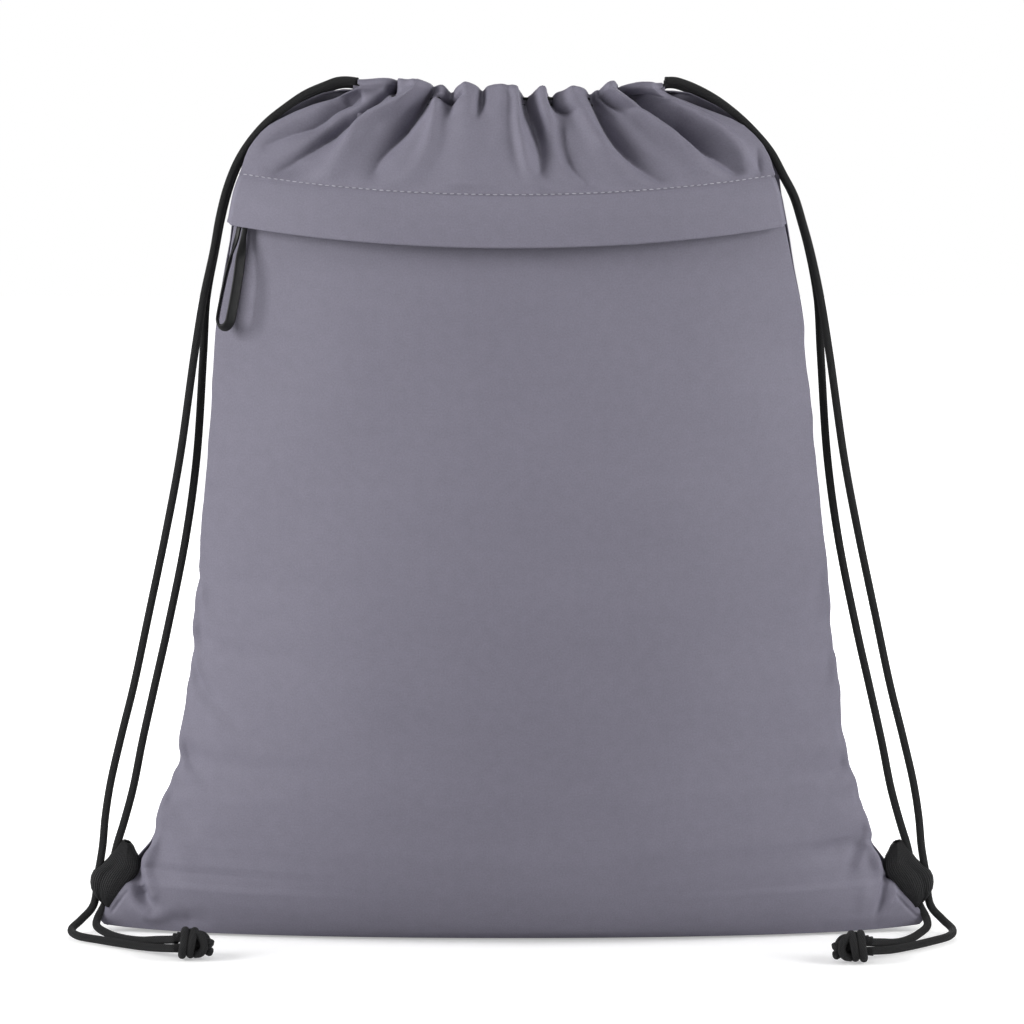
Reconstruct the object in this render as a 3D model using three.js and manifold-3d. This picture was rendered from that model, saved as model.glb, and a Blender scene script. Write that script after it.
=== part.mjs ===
// Drawstring sack (gym / shoe bag) with a zipped front pocket, drawn up and standing on its base.
// Millimetres, +Z up, front faces -Y. Origin: centre of the base, on the floor.
import * as THREE from 'three';
import { mergeVertices } from 'three/addons/utils/BufferGeometryUtils.js';
import Module from 'manifold-3d';

const wasm = await Module();
wasm.setup();

// ---------------------------------------------------------------- driving dimensions
const FABRIC = 1.2;             // modelled thickness of one fabric layer
const SEAM_HALF = 2.2;          // half thickness of the sewn side edge
const SEAM_GAP = 0.35;          // half the slit between the front and back panel
const BASE_HALF_DEPTH = 30;     // flat part of the base, front to back
const ZIP_HALF_CHORD = 144;     // half the zip's straight width
const ZIP_BULGE = 36;           // how far the zip's middle stands forward of its ends
const ZIP_DROP = 12;            // how far the zip's middle hangs below its ends
const ZIP_MID_Z = 371;          // height of the zip's middle
const ZIP_LEAN = 25;            // lean of the zip's surface about its own arc, degrees
const ZIP_SPAN = 28.6;          // half angle of the zip about its arc centre, degrees
const SLIDER_REST = -27.1;      // slider's angle with the zip closed, at the left end
const CORD_D = 4.2;             // drawcord diameter
const HEM_Z0 = 424, HEM_Z1 = 446; // drawcord hem, bottom and top
const HEM_HALF = 84;            // half width of the gathered hem
const HEM_DEPTH = 18;           // how far the hem's middle stands from the mouth's centre plane
const HEM_THICK = 7;            // hem sleeve, outside
const KNOT_R = 9;               // stopper knot radius

// half width of the sack against height
const W = [[0, 212], [8, 212.5], [12, 206.4], [29, 199.5], [37, 195], [48, 188], [62, 183.5], [79, 177.5], [105, 171.5],
  [133, 168.3], [158, 165.2], [196, 162.2], [221, 160], [253, 157.5], [284, 154.5], [318, 151.5], [345, 147.5],
  [365, 144.5], [395, 142], [411, 131], [424, 115]];
// half depth, front and back, against height
const DF = [[0, 30], [4, 35], [12, 40.5], [24, 45], [48, 50], [80, 53.5], [130, 56], [180, 56], [230, 53.5], [280, 47.5],
  [315, 42], [345, 38.5], [371, 35.5], [395, 33], [411, 28.5], [424, 22]];
const DB = [[0, 30], [4, 35], [12, 40.5], [24, 45], [48, 50], [80, 53.5], [130, 56], [180, 56], [230, 53.5], [280, 48.5],
  [330, 42], [371, 36.5], [395, 33], [411, 28.5], [424, 22]];

const deg = Math.PI / 180;
const lerp = (a, b, t) => a + (b - a) * t;
const smooth = (t) => { t = Math.min(1, Math.max(0, t)); return t * t * (3 - 2 * t); };
function table(tab, z) {
  if (z <= tab[0][0]) return tab[0][1];
  for (let i = 1; i < tab.length; i++) {
    if (z <= tab[i][0]) {
      const t = (z - tab[i - 1][0]) / (tab[i][0] - tab[i - 1][0]);
      return lerp(tab[i - 1][1], tab[i][1], t);
    }
  }
  return tab[tab.length - 1][1];
}

// ---------------------------------------------------------------- the zip's arc
// The zip lies on a circular arc that bulges forward and droops, so it turns about one leaning axis.
const sag = Math.hypot(ZIP_BULGE, ZIP_DROP);
const LEAN = Math.atan2(ZIP_DROP, ZIP_BULGE);
const R = (ZIP_HALF_CHORD ** 2 + sag ** 2) / (2 * sag);
const fwd = new THREE.Vector3(0, -Math.cos(LEAN), -Math.sin(LEAN));
const axisA = new THREE.Vector3(0, -Math.sin(LEAN), Math.cos(LEAN));
const ex = new THREE.Vector3(1, 0, 0);
const arcC = new THREE.Vector3(0, -ZIP_BULGE, ZIP_MID_Z).addScaledVector(fwd, -R);
const KAP = ZIP_LEAN * deg;
// a point at angle phi (degrees), n out of the surface, v up along it
function zp(phi, n, v) {
  const p = phi * deg, r = R + n * Math.cos(KAP) - v * Math.sin(KAP), h = n * Math.sin(KAP) + v * Math.cos(KAP);
  return arcC.clone().addScaledVector(ex, r * Math.sin(p)).addScaledVector(fwd, r * Math.cos(p)).addScaledVector(axisA, h);
}
// the local axes there: t along the zip to the right, n outwards, v up
function zframe(phi) {
  const p = phi * deg;
  const rad = ex.clone().multiplyScalar(Math.sin(p)).addScaledVector(fwd, Math.cos(p));
  const t = ex.clone().multiplyScalar(Math.cos(p)).addScaledVector(fwd, -Math.sin(p));
  const n = rad.clone().multiplyScalar(Math.cos(KAP)).addScaledVector(axisA, Math.sin(KAP));
  const v = rad.clone().multiplyScalar(-Math.sin(KAP)).addScaledVector(axisA, Math.cos(KAP));
  return { t, n, v };
}

// ---------------------------------------------------------------- mesh helpers
function closed(verts, tris) {
  let vol = 0;
  for (let i = 0; i < tris.length; i += 3) {
    const a = verts[tris[i]], b = verts[tris[i + 1]], c = verts[tris[i + 2]];
    vol += a.x * (b.y * c.z - b.z * c.y) + a.y * (b.z * c.x - b.x * c.z) + a.z * (b.x * c.y - b.y * c.x);
  }
  if (vol < 0) for (let i = 0; i < tris.length; i += 3) { const t = tris[i]; tris[i] = tris[i + 1]; tris[i + 1] = t; }
  const g = new THREE.BufferGeometry();
  g.setAttribute('position', new THREE.BufferAttribute(new Float32Array(verts.flatMap((p) => [p.x, p.y, p.z])), 3));
  g.setIndex(tris);
  g.computeVertexNormals();
  return g;
}
// a fabric layer: rows x cols grid of middle-surface points, thickened both ways along its own normals
function layer(rows, thick = FABRIC) {
  const nr = rows.length, nc = rows[0].length, verts = [], tris = [];
  const normal = (i, j) => {
    const a = rows[Math.max(0, i - 1)][j], b = rows[Math.min(nr - 1, i + 1)][j];
    const c = rows[i][Math.max(0, j - 1)], d = rows[i][Math.min(nc - 1, j + 1)];
    return b.clone().sub(a).normalize().cross(d.clone().sub(c).normalize()).normalize();
  };
  for (const side of [1, -1])
    for (let i = 0; i < nr; i++) for (let j = 0; j < nc; j++)
      verts.push(rows[i][j].clone().addScaledVector(normal(i, j), side * thick / 2));
  const id = (s, i, j) => s * nr * nc + i * nc + j;
  for (let i = 0; i < nr - 1; i++) for (let j = 0; j < nc - 1; j++) {
    tris.push(id(0, i, j), id(0, i, j + 1), id(0, i + 1, j + 1), id(0, i, j), id(0, i + 1, j + 1), id(0, i + 1, j));
    tris.push(id(1, i, j), id(1, i + 1, j + 1), id(1, i, j + 1), id(1, i, j), id(1, i + 1, j), id(1, i + 1, j + 1));
  }
  const rim = [];
  for (let j = 0; j < nc; j++) rim.push([0, j]);
  for (let i = 1; i < nr; i++) rim.push([i, nc - 1]);
  for (let j = nc - 2; j >= 0; j--) rim.push([nr - 1, j]);
  for (let i = nr - 2; i > 0; i--) rim.push([i, 0]);
  for (let k = 0; k < rim.length; k++) {
    const [a, b] = rim[k], [c, d] = rim[(k + 1) % rim.length];
    tris.push(id(0, a, b), id(1, a, b), id(1, c, d), id(0, a, b), id(1, c, d), id(0, c, d));
  }
  return closed(verts, tris);
}
// a closed section of [n, v] points carried along the zip's arc
function arcSection(section, phi0, phi1, steps) {
  const m = section.length, verts = [], tris = [];
  for (let i = 0; i <= steps; i++) for (const [n, v] of section) verts.push(zp(lerp(phi0, phi1, i / steps), n, v));
  for (let i = 0; i < steps; i++) for (let j = 0; j < m; j++) {
    const a = i * m + j, b = i * m + (j + 1) % m;
    tris.push(a, b, b + m, a, b + m, a + m);
  }
  const caps = THREE.ShapeUtils.triangulateShape(section.map(([n, v]) => new THREE.Vector2(n, v)), []);
  let area = 0;
  section.forEach(([n, v], k) => { const [n2, v2] = section[(k + 1) % m]; area += n * v2 - n2 * v; });
  for (const [a, b, c] of caps) {
    const p = section[a], q = section[b], r = section[c];
    const ccw = ((q[0] - p[0]) * (r[1] - p[1]) - (q[1] - p[1]) * (r[0] - p[0])) > 0;
    const same = ccw === (area > 0);
    const [x, y, z] = same ? [a, b, c] : [a, c, b];
    tris.push(x, z, y);
    tris.push(steps * m + x, steps * m + y, steps * m + z);
  }
  return closed(verts, tris);
}
const box = (n0, n1, v0, v1) => [[n0, v0], [n1, v0], [n1, v1], [n0, v1]];
// an extruded outline placed on local axes: outline x -> a, y -> b, depth centred along c
function plate(outline, holes, depth, origin, a, b, c) {
  const s = new THREE.Shape(outline.map(([x, y]) => new THREE.Vector2(x, y)));
  for (const h of holes) s.holes.push(new THREE.Path(h.map(([x, y]) => new THREE.Vector2(x, y))));
  const g = new THREE.ExtrudeGeometry(s, { depth, bevelEnabled: false, steps: 1 });
  g.translate(0, 0, -depth / 2);
  const m = new THREE.Matrix4().makeBasis(a, b, c);
  m.setPosition(origin);
  g.applyMatrix4(m);
  return weld(g);
}
function weld(g) {
  g.deleteAttribute('normal');
  g.deleteAttribute('uv');
  g = mergeVertices(g, 1e-5);
  // faces point out whichever way round the local axes were given
  const p = g.attributes.position, ix = g.index.array, a = new THREE.Vector3(), b = new THREE.Vector3(), c = new THREE.Vector3();
  let vol = 0;
  for (let i = 0; i < ix.length; i += 3) vol += a.fromBufferAttribute(p, ix[i]).dot(b.fromBufferAttribute(p, ix[i + 1]).cross(c.fromBufferAttribute(p, ix[i + 2])));
  if (vol < 0) for (let i = 0; i < ix.length; i += 3) { const t = ix[i]; ix[i] = ix[i + 1]; ix[i + 1] = t; }
  g.computeVertexNormals();
  return g;
}
function toManifold(g) {
  const w = weld(g.clone());
  return new wasm.Manifold(new wasm.Mesh({
    numProp: 3,
    vertProperties: new Float32Array(w.attributes.position.array),
    triVerts: new Uint32Array(w.index.array),
  }));
}
function fromManifold(m) {
  const o = m.getMesh();
  const g = new THREE.BufferGeometry();
  g.setAttribute('position', new THREE.BufferAttribute(new Float32Array(o.vertProperties), 3));
  g.setIndex(new THREE.BufferAttribute(new Uint32Array(o.triVerts), 1));
  g.computeVertexNormals();
  return g;
}
// a round cord through the given points; the steps crowd where the points do
class Route extends THREE.Curve {
  constructor(pts) { super(); this.c = new THREE.CatmullRomCurve3(pts, false, 'centripetal'); }
  getPoint(t, o = new THREE.Vector3()) { return this.c.getPoint(t, o); }
  getPointAt(u, o = new THREE.Vector3()) { return this.c.getPoint(u, o); }
  getTangentAt(u, o = new THREE.Vector3()) { return this.c.getTangent(u, o); }
  getUtoTmapping(u) { return u; }
}
function cord(pts, steps, sides = 8, d = CORD_D) {
  const s = new THREE.Shape();
  const ring = [];
  for (let k = 0; k < sides; k++) ring.push(new THREE.Vector2(d / 2 * Math.cos(k * 2 * Math.PI / sides), d / 2 * Math.sin(k * 2 * Math.PI / sides)));
  s.setFromPoints(ring);
  return weld(new THREE.ExtrudeGeometry(s, { steps, bevelEnabled: false, extrudePath: new Route(pts.map((p) => new THREE.Vector3(...p))) }));
}

const group = new THREE.Group();
function add(name, geometry, color, roughness = 0.8, metalness = 0) {
  const mesh = new THREE.Mesh(geometry, new THREE.MeshStandardMaterial({ color, roughness, metalness }));
  mesh.name = name;
  group.add(mesh);
  return mesh;
}
const GREY = 0x77747f, BLACK = 0x161618, DARK = 0x2a2a2e, METAL = 0x2c2c30;

// ---------------------------------------------------------------- the fabric panels
const COLS = 22;
const sVals = [];
for (let j = 0; j <= COLS; j++) {
  const u = -1 + 2 * j / COLS;
  sVals.push(Math.sin(u * 1.25) / Math.sin(1.25));   // closer together towards the side seams
}
const crown = (s) => 1 - Math.pow(Math.abs(s), 2.15);
const seamHalf = (z) => lerp(4.6, SEAM_HALF, smooth(z / 60));
// middle-surface point of the front (sign -1) or back (+1) at fraction s of the half width
function body(s, z, sign) {
  const D = table(sign < 0 ? DF : DB, z), w = table(W, z), e = seamHalf(z);
  return new THREE.Vector3(s * w, sign * (e + (D - e) * crown(s)), z);
}
// a row with its two ends turned in to the seam slit
function turned(row, sign) {
  const a = row[0], b = row[row.length - 1];
  return [new THREE.Vector3(a.x, sign * (SEAM_GAP + FABRIC * 0), a.z), ...row, new THREE.Vector3(b.x, sign * SEAM_GAP, b.z)];
}
const ZROWS = [4, 9, 14, 22, 31, 40, 52, 68, 90, 115, 145, 180, 215, 250, 280, 305, 325, 340];
function baseRows(sign) {
  const rows = [];
  for (const f of [0, 0.33, 0.66, 1]) {
    rows.push(turned(sVals.map((s) => {
      const yb = 4.6 + (BASE_HALF_DEPTH - 4.6) * crown(s);
      return new THREE.Vector3(s * 211, sign * lerp(SEAM_GAP, yb, f), FABRIC / 2);
    }), sign));
  }
  // the turned-in ends of a base row lie on its own line
  for (let k = 0; k < rows.length; k++) {
    const r = rows[k];
    r[0].y = r[1].y; r[0].x = r[1].x - 0.9; r[r.length - 1].y = r[r.length - 2].y; r[r.length - 1].x = r[r.length - 2].x + 0.9;
  }
  return rows;
}
// front panel: from the bottom seam to the lower zip tape, under the flap
{
  const rows = baseRows(-1);
  const topPhi = (s) => Math.asin(Math.max(-1, Math.min(1, s * Math.sin(ZIP_SPAN * deg)))) / deg;
  const top = (s) => zp(topPhi(s), 0.5 + FABRIC / 2, -13);
  for (const z0 of ZROWS) {
    const row = sVals.map((s) => {
      const e = top(s), zt = e.z;
      const z = z0 + (zt - 360) * smooth((z0 - 240) / 110);
      const p = body(s, z, -1), q = body(s, zt, -1);
      const b = smooth((z - (zt - 62)) / 58);
      return new THREE.Vector3(p.x + (e.x - q.x) * b, p.y + (e.y - q.y) * b, z);
    });
    rows.push(turned(row, -1));
  }
  for (const v of [-13, -8.5, -4]) rows.push(turned(sVals.map((s) => zp(topPhi(s), 0.5 + FABRIC / 2, v)), -1));
  add('front_panel', layer(rows), GREY);
}
// back panel: one piece from the bottom seam to the hem
{
  const rows = baseRows(1);
  for (const z of [...ZROWS, 371, 388, 402, 413, HEM_Z0 - 0.9]) rows.push(turned(sVals.map((s) => body(s, z, 1)), 1));
  add('back_panel', layer(rows), GREY);
}
// front yoke: from the stitch line over the zip to the hem
{
  const rows = [];
  const topPhi = (s) => Math.asin(Math.max(-1, Math.min(1, s * Math.sin(ZIP_SPAN * deg)))) / deg;
  const low = (s) => zp(topPhi(s), 2.7 + FABRIC / 2, 13.8);
  for (const f of [0, 0.2, 0.42, 0.66, 0.84, 1]) {
    const row = sVals.map((s) => {
      const e = low(s), z = lerp(e.z, HEM_Z0 - 0.9, f);
      const p = body(s, z, -1), q = body(s, e.z, -1), b = 1 - smooth(f / 0.8);
      return new THREE.Vector3(p.x + (e.x - q.x) * b, p.y + (e.y - q.y) * b, z);
    });
    rows.push(turned(row, -1));
  }
  add('front_yoke', layer(rows), GREY);
}
// pocket lining: hangs behind the zip and closes on the front panel's inside
{
  const rows = [];
  const low = (s) => zp(Math.asin(s * Math.sin(27.4 * deg)) / deg, -1.6, 11.5);
  for (const f of [0, 0.06, 0.14, 0.28, 0.44, 0.6, 0.74, 0.86, 0.95, 1]) {
    rows.push(sVals.map((s0) => {
      const s = s0 * 0.965, e = low(s), z = lerp(e.z, 120, f);
      const p = body(s, z, -1);
      const deep = 3.0 + 9 * Math.sin(Math.PI * Math.min(1, f * 1.0)) * crown(s) + 3 * smooth(f / 0.2);
      const y = lerp(e.y, Math.min(-1.3, p.y + deep), smooth(f / 0.14));
      const x = lerp(e.x, p.x, smooth(f / 0.3));
      return new THREE.Vector3(x, Math.min(-1.3, y), z);
    }));
  }
  add('pocket_lining', layer(rows, 0.8), DARK);
}

// ---------------------------------------------------------------- the drawcord hem, front and back
function hem(sign) {
  const N = 20, verts = [], tris = [];
  const zc = (HEM_Z0 + HEM_Z1) / 2, hz = (HEM_Z1 - HEM_Z0) / 2, ht = HEM_THICK / 2, wall = 1.1;
  const ringO = [[-ht, -hz + 2], [-ht, hz - 2], [-ht + 2, hz], [ht - 2, hz], [ht, hz - 2], [ht, -hz + 2], [ht - 2, -hz], [-ht + 2, -hz]];
  const ringI = ringO.map(([a, b]) => [a - Math.sign(a) * wall, b - Math.sign(b) * wall]);
  const m = ringO.length;
  for (let i = 0; i <= N; i++) {
    const u = -1 + 2 * i / N, x = HEM_HALF * Math.sin(u * 1.35) / Math.sin(1.35);
    const q = x / HEM_HALF;
    const y = sign * (5 + (HEM_DEPTH - 5) * (1 - q * q));
    const dy = sign * (HEM_DEPTH - 5) * (-2 * q / HEM_HALF);
    const nrm = new THREE.Vector3(-dy, 1, 0).normalize();
    for (const ring of [ringO, ringI]) for (const [a, b] of ring) verts.push(new THREE.Vector3(x + nrm.x * a, y + nrm.y * a, zc + b));
  }
  const id = (i, k, j) => i * 2 * m + k * m + (j % m);
  for (let i = 0; i < N; i++) for (let j = 0; j < m; j++) {
    tris.push(id(i, 0, j), id(i, 0, j + 1), id(i + 1, 0, j + 1), id(i, 0, j), id(i + 1, 0, j + 1), id(i + 1, 0, j));
    tris.push(id(i, 1, j), id(i + 1, 1, j + 1), id(i, 1, j + 1), id(i, 1, j), id(i + 1, 1, j), id(i + 1, 1, j + 1));
  }
  for (const i of [0, N]) for (let j = 0; j < m; j++) {
    const a = id(i, 0, j), b = id(i, 0, j + 1), c = id(i, 1, j + 1), d = id(i, 1, j);
    if (i === 0) tris.push(a, c, b, a, d, c); else tris.push(a, b, c, a, c, d);
  }
  return closed(verts, tris);
}
add('hem_channel_front', hem(-1), GREY);
add('hem_channel_back', hem(1), GREY);

// ---------------------------------------------------------------- the zip
add('zip_tape_upper', arcSection(box(-0.7, 0, 1.2, 12), -ZIP_SPAN, ZIP_SPAN, 20), BLACK);
add('zip_tape_lower', arcSection(box(-0.7, 0, -12, -1.2), -ZIP_SPAN, ZIP_SPAN, 20), BLACK);
const coil = (v) => [0, 1, 2, 3, 4, 5].map((k) => [1.0 + 0.7 * Math.cos(k * Math.PI / 3), v + 0.8 * Math.sin(k * Math.PI / 3)]);
add('zip_coil_upper', arcSection(coil(1.7), -ZIP_SPAN + 0.2, ZIP_SPAN - 0.2, 24), BLACK, 0.5);
add('zip_coil_lower', arcSection(coil(-1.7), -ZIP_SPAN + 0.2, ZIP_SPAN - 0.2, 24), BLACK, 0.5);
// the flap over the zip: sewn under the yoke's edge, hanging free below
add('zip_flap', arcSection([[0.3, 14.6], [0.3, 11.6], [4.2, 9.6], [6.9, 6.0], [7.9, 1.5], [7.9, -6], [7.8, -13],
  [9.0, -13], [9.1, -6], [9.1, 2.0], [7.9, 7.2], [4.9, 10.8], [1.5, 12.4], [1.5, 14.6]], -ZIP_SPAN, ZIP_SPAN, 22), GREY);
// stops at both ends of the coils
add('zip_stop_left', arcSection([[0.3, 2.9], [0.3, 3.7], [2.3, 3.7], [2.3, -3.7], [0.3, -3.7], [0.3, -2.9], [1.95, -2.9], [1.95, 2.9]], -28.35, -28.15, 1), METAL, 0.4, 0.6);
add('zip_stop_right', arcSection([[0.3, 2.9], [0.3, 3.7], [2.3, 3.7], [2.3, -3.7], [0.3, -3.7], [0.3, -2.9], [1.95, -2.9], [1.95, 2.9]], 26.55, 26.75, 1), METAL, 0.4, 0.6);

// slider: two plates joined by a post, with a low bridge along its top
const PLATE = 0.85;              // half length of the slider along the zip, degrees
const BAR_N = 5.05;              // bridge bar's height over the tape
{
  const I = [[-2.3, -4.2], [-1.1, -4.2], [-1.1, -0.5], [2.05, -0.5], [2.05, -4.2], [3.0, -4.2], [3.0, 4.2], [2.05, 4.2], [2.05, 0.5], [-1.1, 0.5], [-1.1, 4.2], [-2.3, 4.2]];
  let m = toManifold(arcSection(I, SLIDER_REST - PLATE, SLIDER_REST + PLATE, 2));
  const f = zframe(SLIDER_REST);
  const o = zp(SLIDER_REST, 0, 0);
  const L = 4.2;
  const leg = (x0, x1) => plate([[x0, 2.8], [x1, 2.8], [x1, 5.65], [x0, 5.65]], [], 1.6, o, f.t, f.n, f.v.clone().negate());
  const bar = plate([[-L, 4.45], [L, 4.45], [L, 5.65], [-L, 5.65]], [], 1.2, o, f.t, f.n, f.v.clone().negate());
  m = m.add(toManifold(leg(-L, -L + 1.4))).add(toManifold(leg(L - 1.4, L))).add(toManifold(bar));
  add('zip_slider', fromManifold(m), METAL, 0.35, 0.7);
}
// pull ring: a wire link round the bridge bar
{
  const f = zframe(SLIDER_REST), o = zp(SLIDER_REST, BAR_N, 0);
  const pill = (hw, top, bot, n) => {
    const p = [];
    for (let k = 0; k <= n; k++) { const a = Math.PI * k / n; p.push([hw * Math.cos(a), top + hw * Math.sin(a)]); }
    for (let k = 0; k <= n; k++) { const a = Math.PI + Math.PI * k / n; p.push([hw * Math.cos(a), bot + hw * Math.sin(a)]); }
    return p;
  };
  // in the plane of n and v; thin along the zip
  add('pull_ring', plate(pill(1.75, 0.1, -3.6, 6), [pill(1.0, 0.1, -3.6, 6)], 1.2, o, f.n, f.v, f.t), METAL, 0.35, 0.7);
}
// puller: a closed strap loop that hangs through the ring
const PULL_C = -5.5;             // centre of the puller's top bend, below the bar
{
  const f = zframe(SLIDER_REST), o = zp(SLIDER_REST, BAR_N, PULL_C);
  const arch = (r, n) => { const p = []; for (let k = 0; k <= n; k++) { const a = Math.PI * k / n; p.push([r * Math.cos(a), r * Math.sin(a)]); } return p; };
  const B = -49.5;               // centre of the lower bend
  const low = (r, n) => { const p = []; for (let k = 0; k <= n; k++) { const a = Math.PI + Math.PI * k / n; p.push([r * Math.cos(a), B + r * Math.sin(a)]); } return p; };
  const outer = [...arch(3.6, 8), [-3.7, -4], [-4.6, -14], ...low(6.2, 9), [4.6, -14], [3.7, -4]];
  const inner = [...arch(1.9, 8), [-1.9, -4], [-2.2, -14], ...low(2.7, 7), [2.2, -14], [1.9, -4]];
  add('puller_loop', plate(outer, [inner], 1.5, o, f.t, f.v, f.n.clone().negate().multiplyScalar(-1)), BLACK, 0.5);
}

// ---------------------------------------------------------------- webbing loops at the bottom corners
const LOOP_C = [214.8, 0, 29.5], LOOP_LEN = 30, LOOP_DIR = new THREE.Vector3(-0.2, 0, -0.98).normalize();
function cornerLoop(side) {
  const d = LOOP_DIR.clone(), nn = new THREE.Vector3(-0.98, 0, 0.2).normalize();
  if (side > 0) { d.x *= -1; nn.x *= -1; }
  const oval = (a, b, n) => { const p = []; for (let k = 0; k < n; k++) { const t = 2 * Math.PI * k / n; const c = Math.cos(t), s = Math.sin(t); p.push([a * Math.sign(c) * Math.pow(Math.abs(c), 0.75), b * Math.sign(s) * Math.pow(Math.abs(s), 0.75)]); } return p; };
  const o = new THREE.Vector3(side * LOOP_C[0], LOOP_C[1], LOOP_C[2]);
  const y = new THREE.Vector3(0, 1, 0);
  const c = nn.clone().cross(y);
  return plate(oval(9.6, 4.6, 20), [oval(8.2, 3.2, 20)], LOOP_LEN, o, nn, y, c);
}
add('corner_loop_left', cornerLoop(-1), BLACK);
add('corner_loop_right', cornerLoop(1), BLACK);

// ---------------------------------------------------------------- drawcords
// each cord runs right round the hem and leaves it on its own side, front and back
function hemY(x, sign, off) { const q = x / HEM_HALF; return sign * (5 + (HEM_DEPTH - 5) * (1 - q * q) + off); }
function ringRoute(side, z) {
  const p = [];
  const xe = 84.9;
  for (let k = 0; k <= 8; k++) { const x = side * lerp(xe, -80, k / 8); p.push([x, hemY(x, -1, 0), z]); }
  p.push([-side * 86.2, -3.4, z], [-side * 87.6, 0, z], [-side * 86.2, 3.4, z]);
  for (let k = 0; k <= 8; k++) { const x = side * lerp(-80, xe, k / 8); p.push([x, hemY(x, 1, 0), z]); }
  return p;
}
add('left_cord_in_hem', cord(ringRoute(-1, 440.2), 30), BLACK);
add('right_cord_in_hem', cord(ringRoute(1, 434.0), 30), BLACK);

// free strands, hem exit -> corner loop -> floor -> knot
const L_FRONT = [[-86.3, -5, 440.2], [-91, -5.1, 441.6], [-98, -4.6, 441.8], [-110, -2.8, 436.5], [-130, -0.4, 419.5], [-142.8, 0.2, 402], [-149.4, 0.6, 385], [-153.6, 0.6, 360],
  [-159.4, 0, 333], [-163.9, -1.4, 304], [-172.2, -1.2, 250], [-179.8, -0.6, 212], [-190, 0, 166], [-198, 0, 130], [-205, 0, 103], [-211, 0, 78], [-214.0, 0, 60], [-215.2, 0, 44.5], [-218.2, 0, 29.5],
  [-221.0, 0, 12.6], [-226.6, -4.5, 6.4], [-230.6, -12.5, 3.2], [-226.5, -22.5, 2.5], [-213, -32, 2.5], [-196, -42, 2.6], [-184, -49, 3.2], [-175.0, -55.2, 5]];
const L_BACK = [[-86.3, 5, 440.2], [-91, 5.3, 441.6], [-98, 5.6, 441.8], [-110, 5.6, 436.5], [-130, 5.0, 419.5], [-142.8, 5.2, 402], [-149.4, 5.4, 385], [-153.6, 5.2, 360],
  [-158.2, 5.0, 333], [-160.0, 4.4, 304], [-164.0, 3.4, 250], [-170, 1.8, 208], [-180, 0.6, 160], [-187.5, 0, 128], [-194, 0, 100], [-199, 0, 76], [-204, 0, 58], [-208.2, 0, 44.5], [-211.4, 0, 29.5],
  [-214.5, 0, 14.5], [-218.0, -4.0, 7.4], [-217.6, -11.5, 4.6], [-211, -19, 2.6], [-200, -28, 2.8], [-189, -40, 6.8], [-181, -49.6, 10.0], [-175.4, -54.6, 11.4]];
// the right-hand cord leaves the hem lower and its tails run a little further before their knot
const toRight = (pts) => pts.map(([x, y, z], k) => {
  const t = smooth((k - 21) / 4), d = k < 4 ? [6.2, 7.2, 5.6, 1.6][k] : 0;
  return [-x + 7.0 * t, y - 5 * t, z - d];
});
const R_FRONT = toRight(L_FRONT), R_BACK = toRight(L_BACK);
add('left_cord_front_strand', cord(L_FRONT, 20), BLACK);
add('left_cord_back_strand', cord(L_BACK, 20), BLACK);
add('right_cord_front_strand', cord(R_FRONT, 20), BLACK);
add('right_cord_back_strand', cord(R_BACK, 20), BLACK);

// doubled overhand knots: a lumpy ball with a waist
function knot(x, y) {
  const g = new THREE.SphereGeometry(KNOT_R, 14, 10);
  const p = g.attributes.position;
  for (let i = 0; i < p.count; i++) {
    const v = new THREE.Vector3().fromBufferAttribute(p, i);
    const k = 1 - 0.13 * Math.pow(Math.max(0, 1 - Math.abs(v.x) / 3.2), 1) + 0.03;
    p.setXYZ(i, v.x * 1.06, v.y * 0.96 * k, v.z * 0.96 * k);
  }
  const w = weld(g);
  w.computeBoundingBox();
  w.translate(x, y, -w.boundingBox.min.z + 0.02);
  return w;
}
add('left_knot', knot(-165, -61.5), BLACK);
add('right_knot', knot(171.8, -66.5), BLACK);

export default group;
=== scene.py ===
# Drawstring sack with a zipped front pocket: the looks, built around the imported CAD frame.
# Lengths below are in millimetres in the row frame and turned into metres when a mesh is made.
import bpy, math
import numpy as np
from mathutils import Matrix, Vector


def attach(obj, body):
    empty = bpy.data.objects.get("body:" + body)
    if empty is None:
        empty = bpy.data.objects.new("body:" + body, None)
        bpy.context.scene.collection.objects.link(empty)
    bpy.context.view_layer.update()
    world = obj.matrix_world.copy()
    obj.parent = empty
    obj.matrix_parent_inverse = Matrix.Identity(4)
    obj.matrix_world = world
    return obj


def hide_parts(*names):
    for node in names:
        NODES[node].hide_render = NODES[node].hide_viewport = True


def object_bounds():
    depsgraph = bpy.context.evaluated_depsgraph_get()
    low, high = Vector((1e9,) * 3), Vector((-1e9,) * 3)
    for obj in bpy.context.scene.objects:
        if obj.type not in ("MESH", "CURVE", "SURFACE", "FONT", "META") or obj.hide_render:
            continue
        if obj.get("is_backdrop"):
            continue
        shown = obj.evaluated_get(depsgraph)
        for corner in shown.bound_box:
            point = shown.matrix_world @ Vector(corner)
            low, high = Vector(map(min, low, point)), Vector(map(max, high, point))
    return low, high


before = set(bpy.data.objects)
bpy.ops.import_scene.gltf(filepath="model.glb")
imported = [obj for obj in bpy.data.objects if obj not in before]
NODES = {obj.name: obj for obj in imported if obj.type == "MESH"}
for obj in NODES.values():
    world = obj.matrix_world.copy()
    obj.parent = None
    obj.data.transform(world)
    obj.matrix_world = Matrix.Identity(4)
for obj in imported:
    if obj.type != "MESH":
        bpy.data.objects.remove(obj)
cad_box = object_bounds()
MM = 0.001
col = bpy.context.scene.collection

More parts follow.
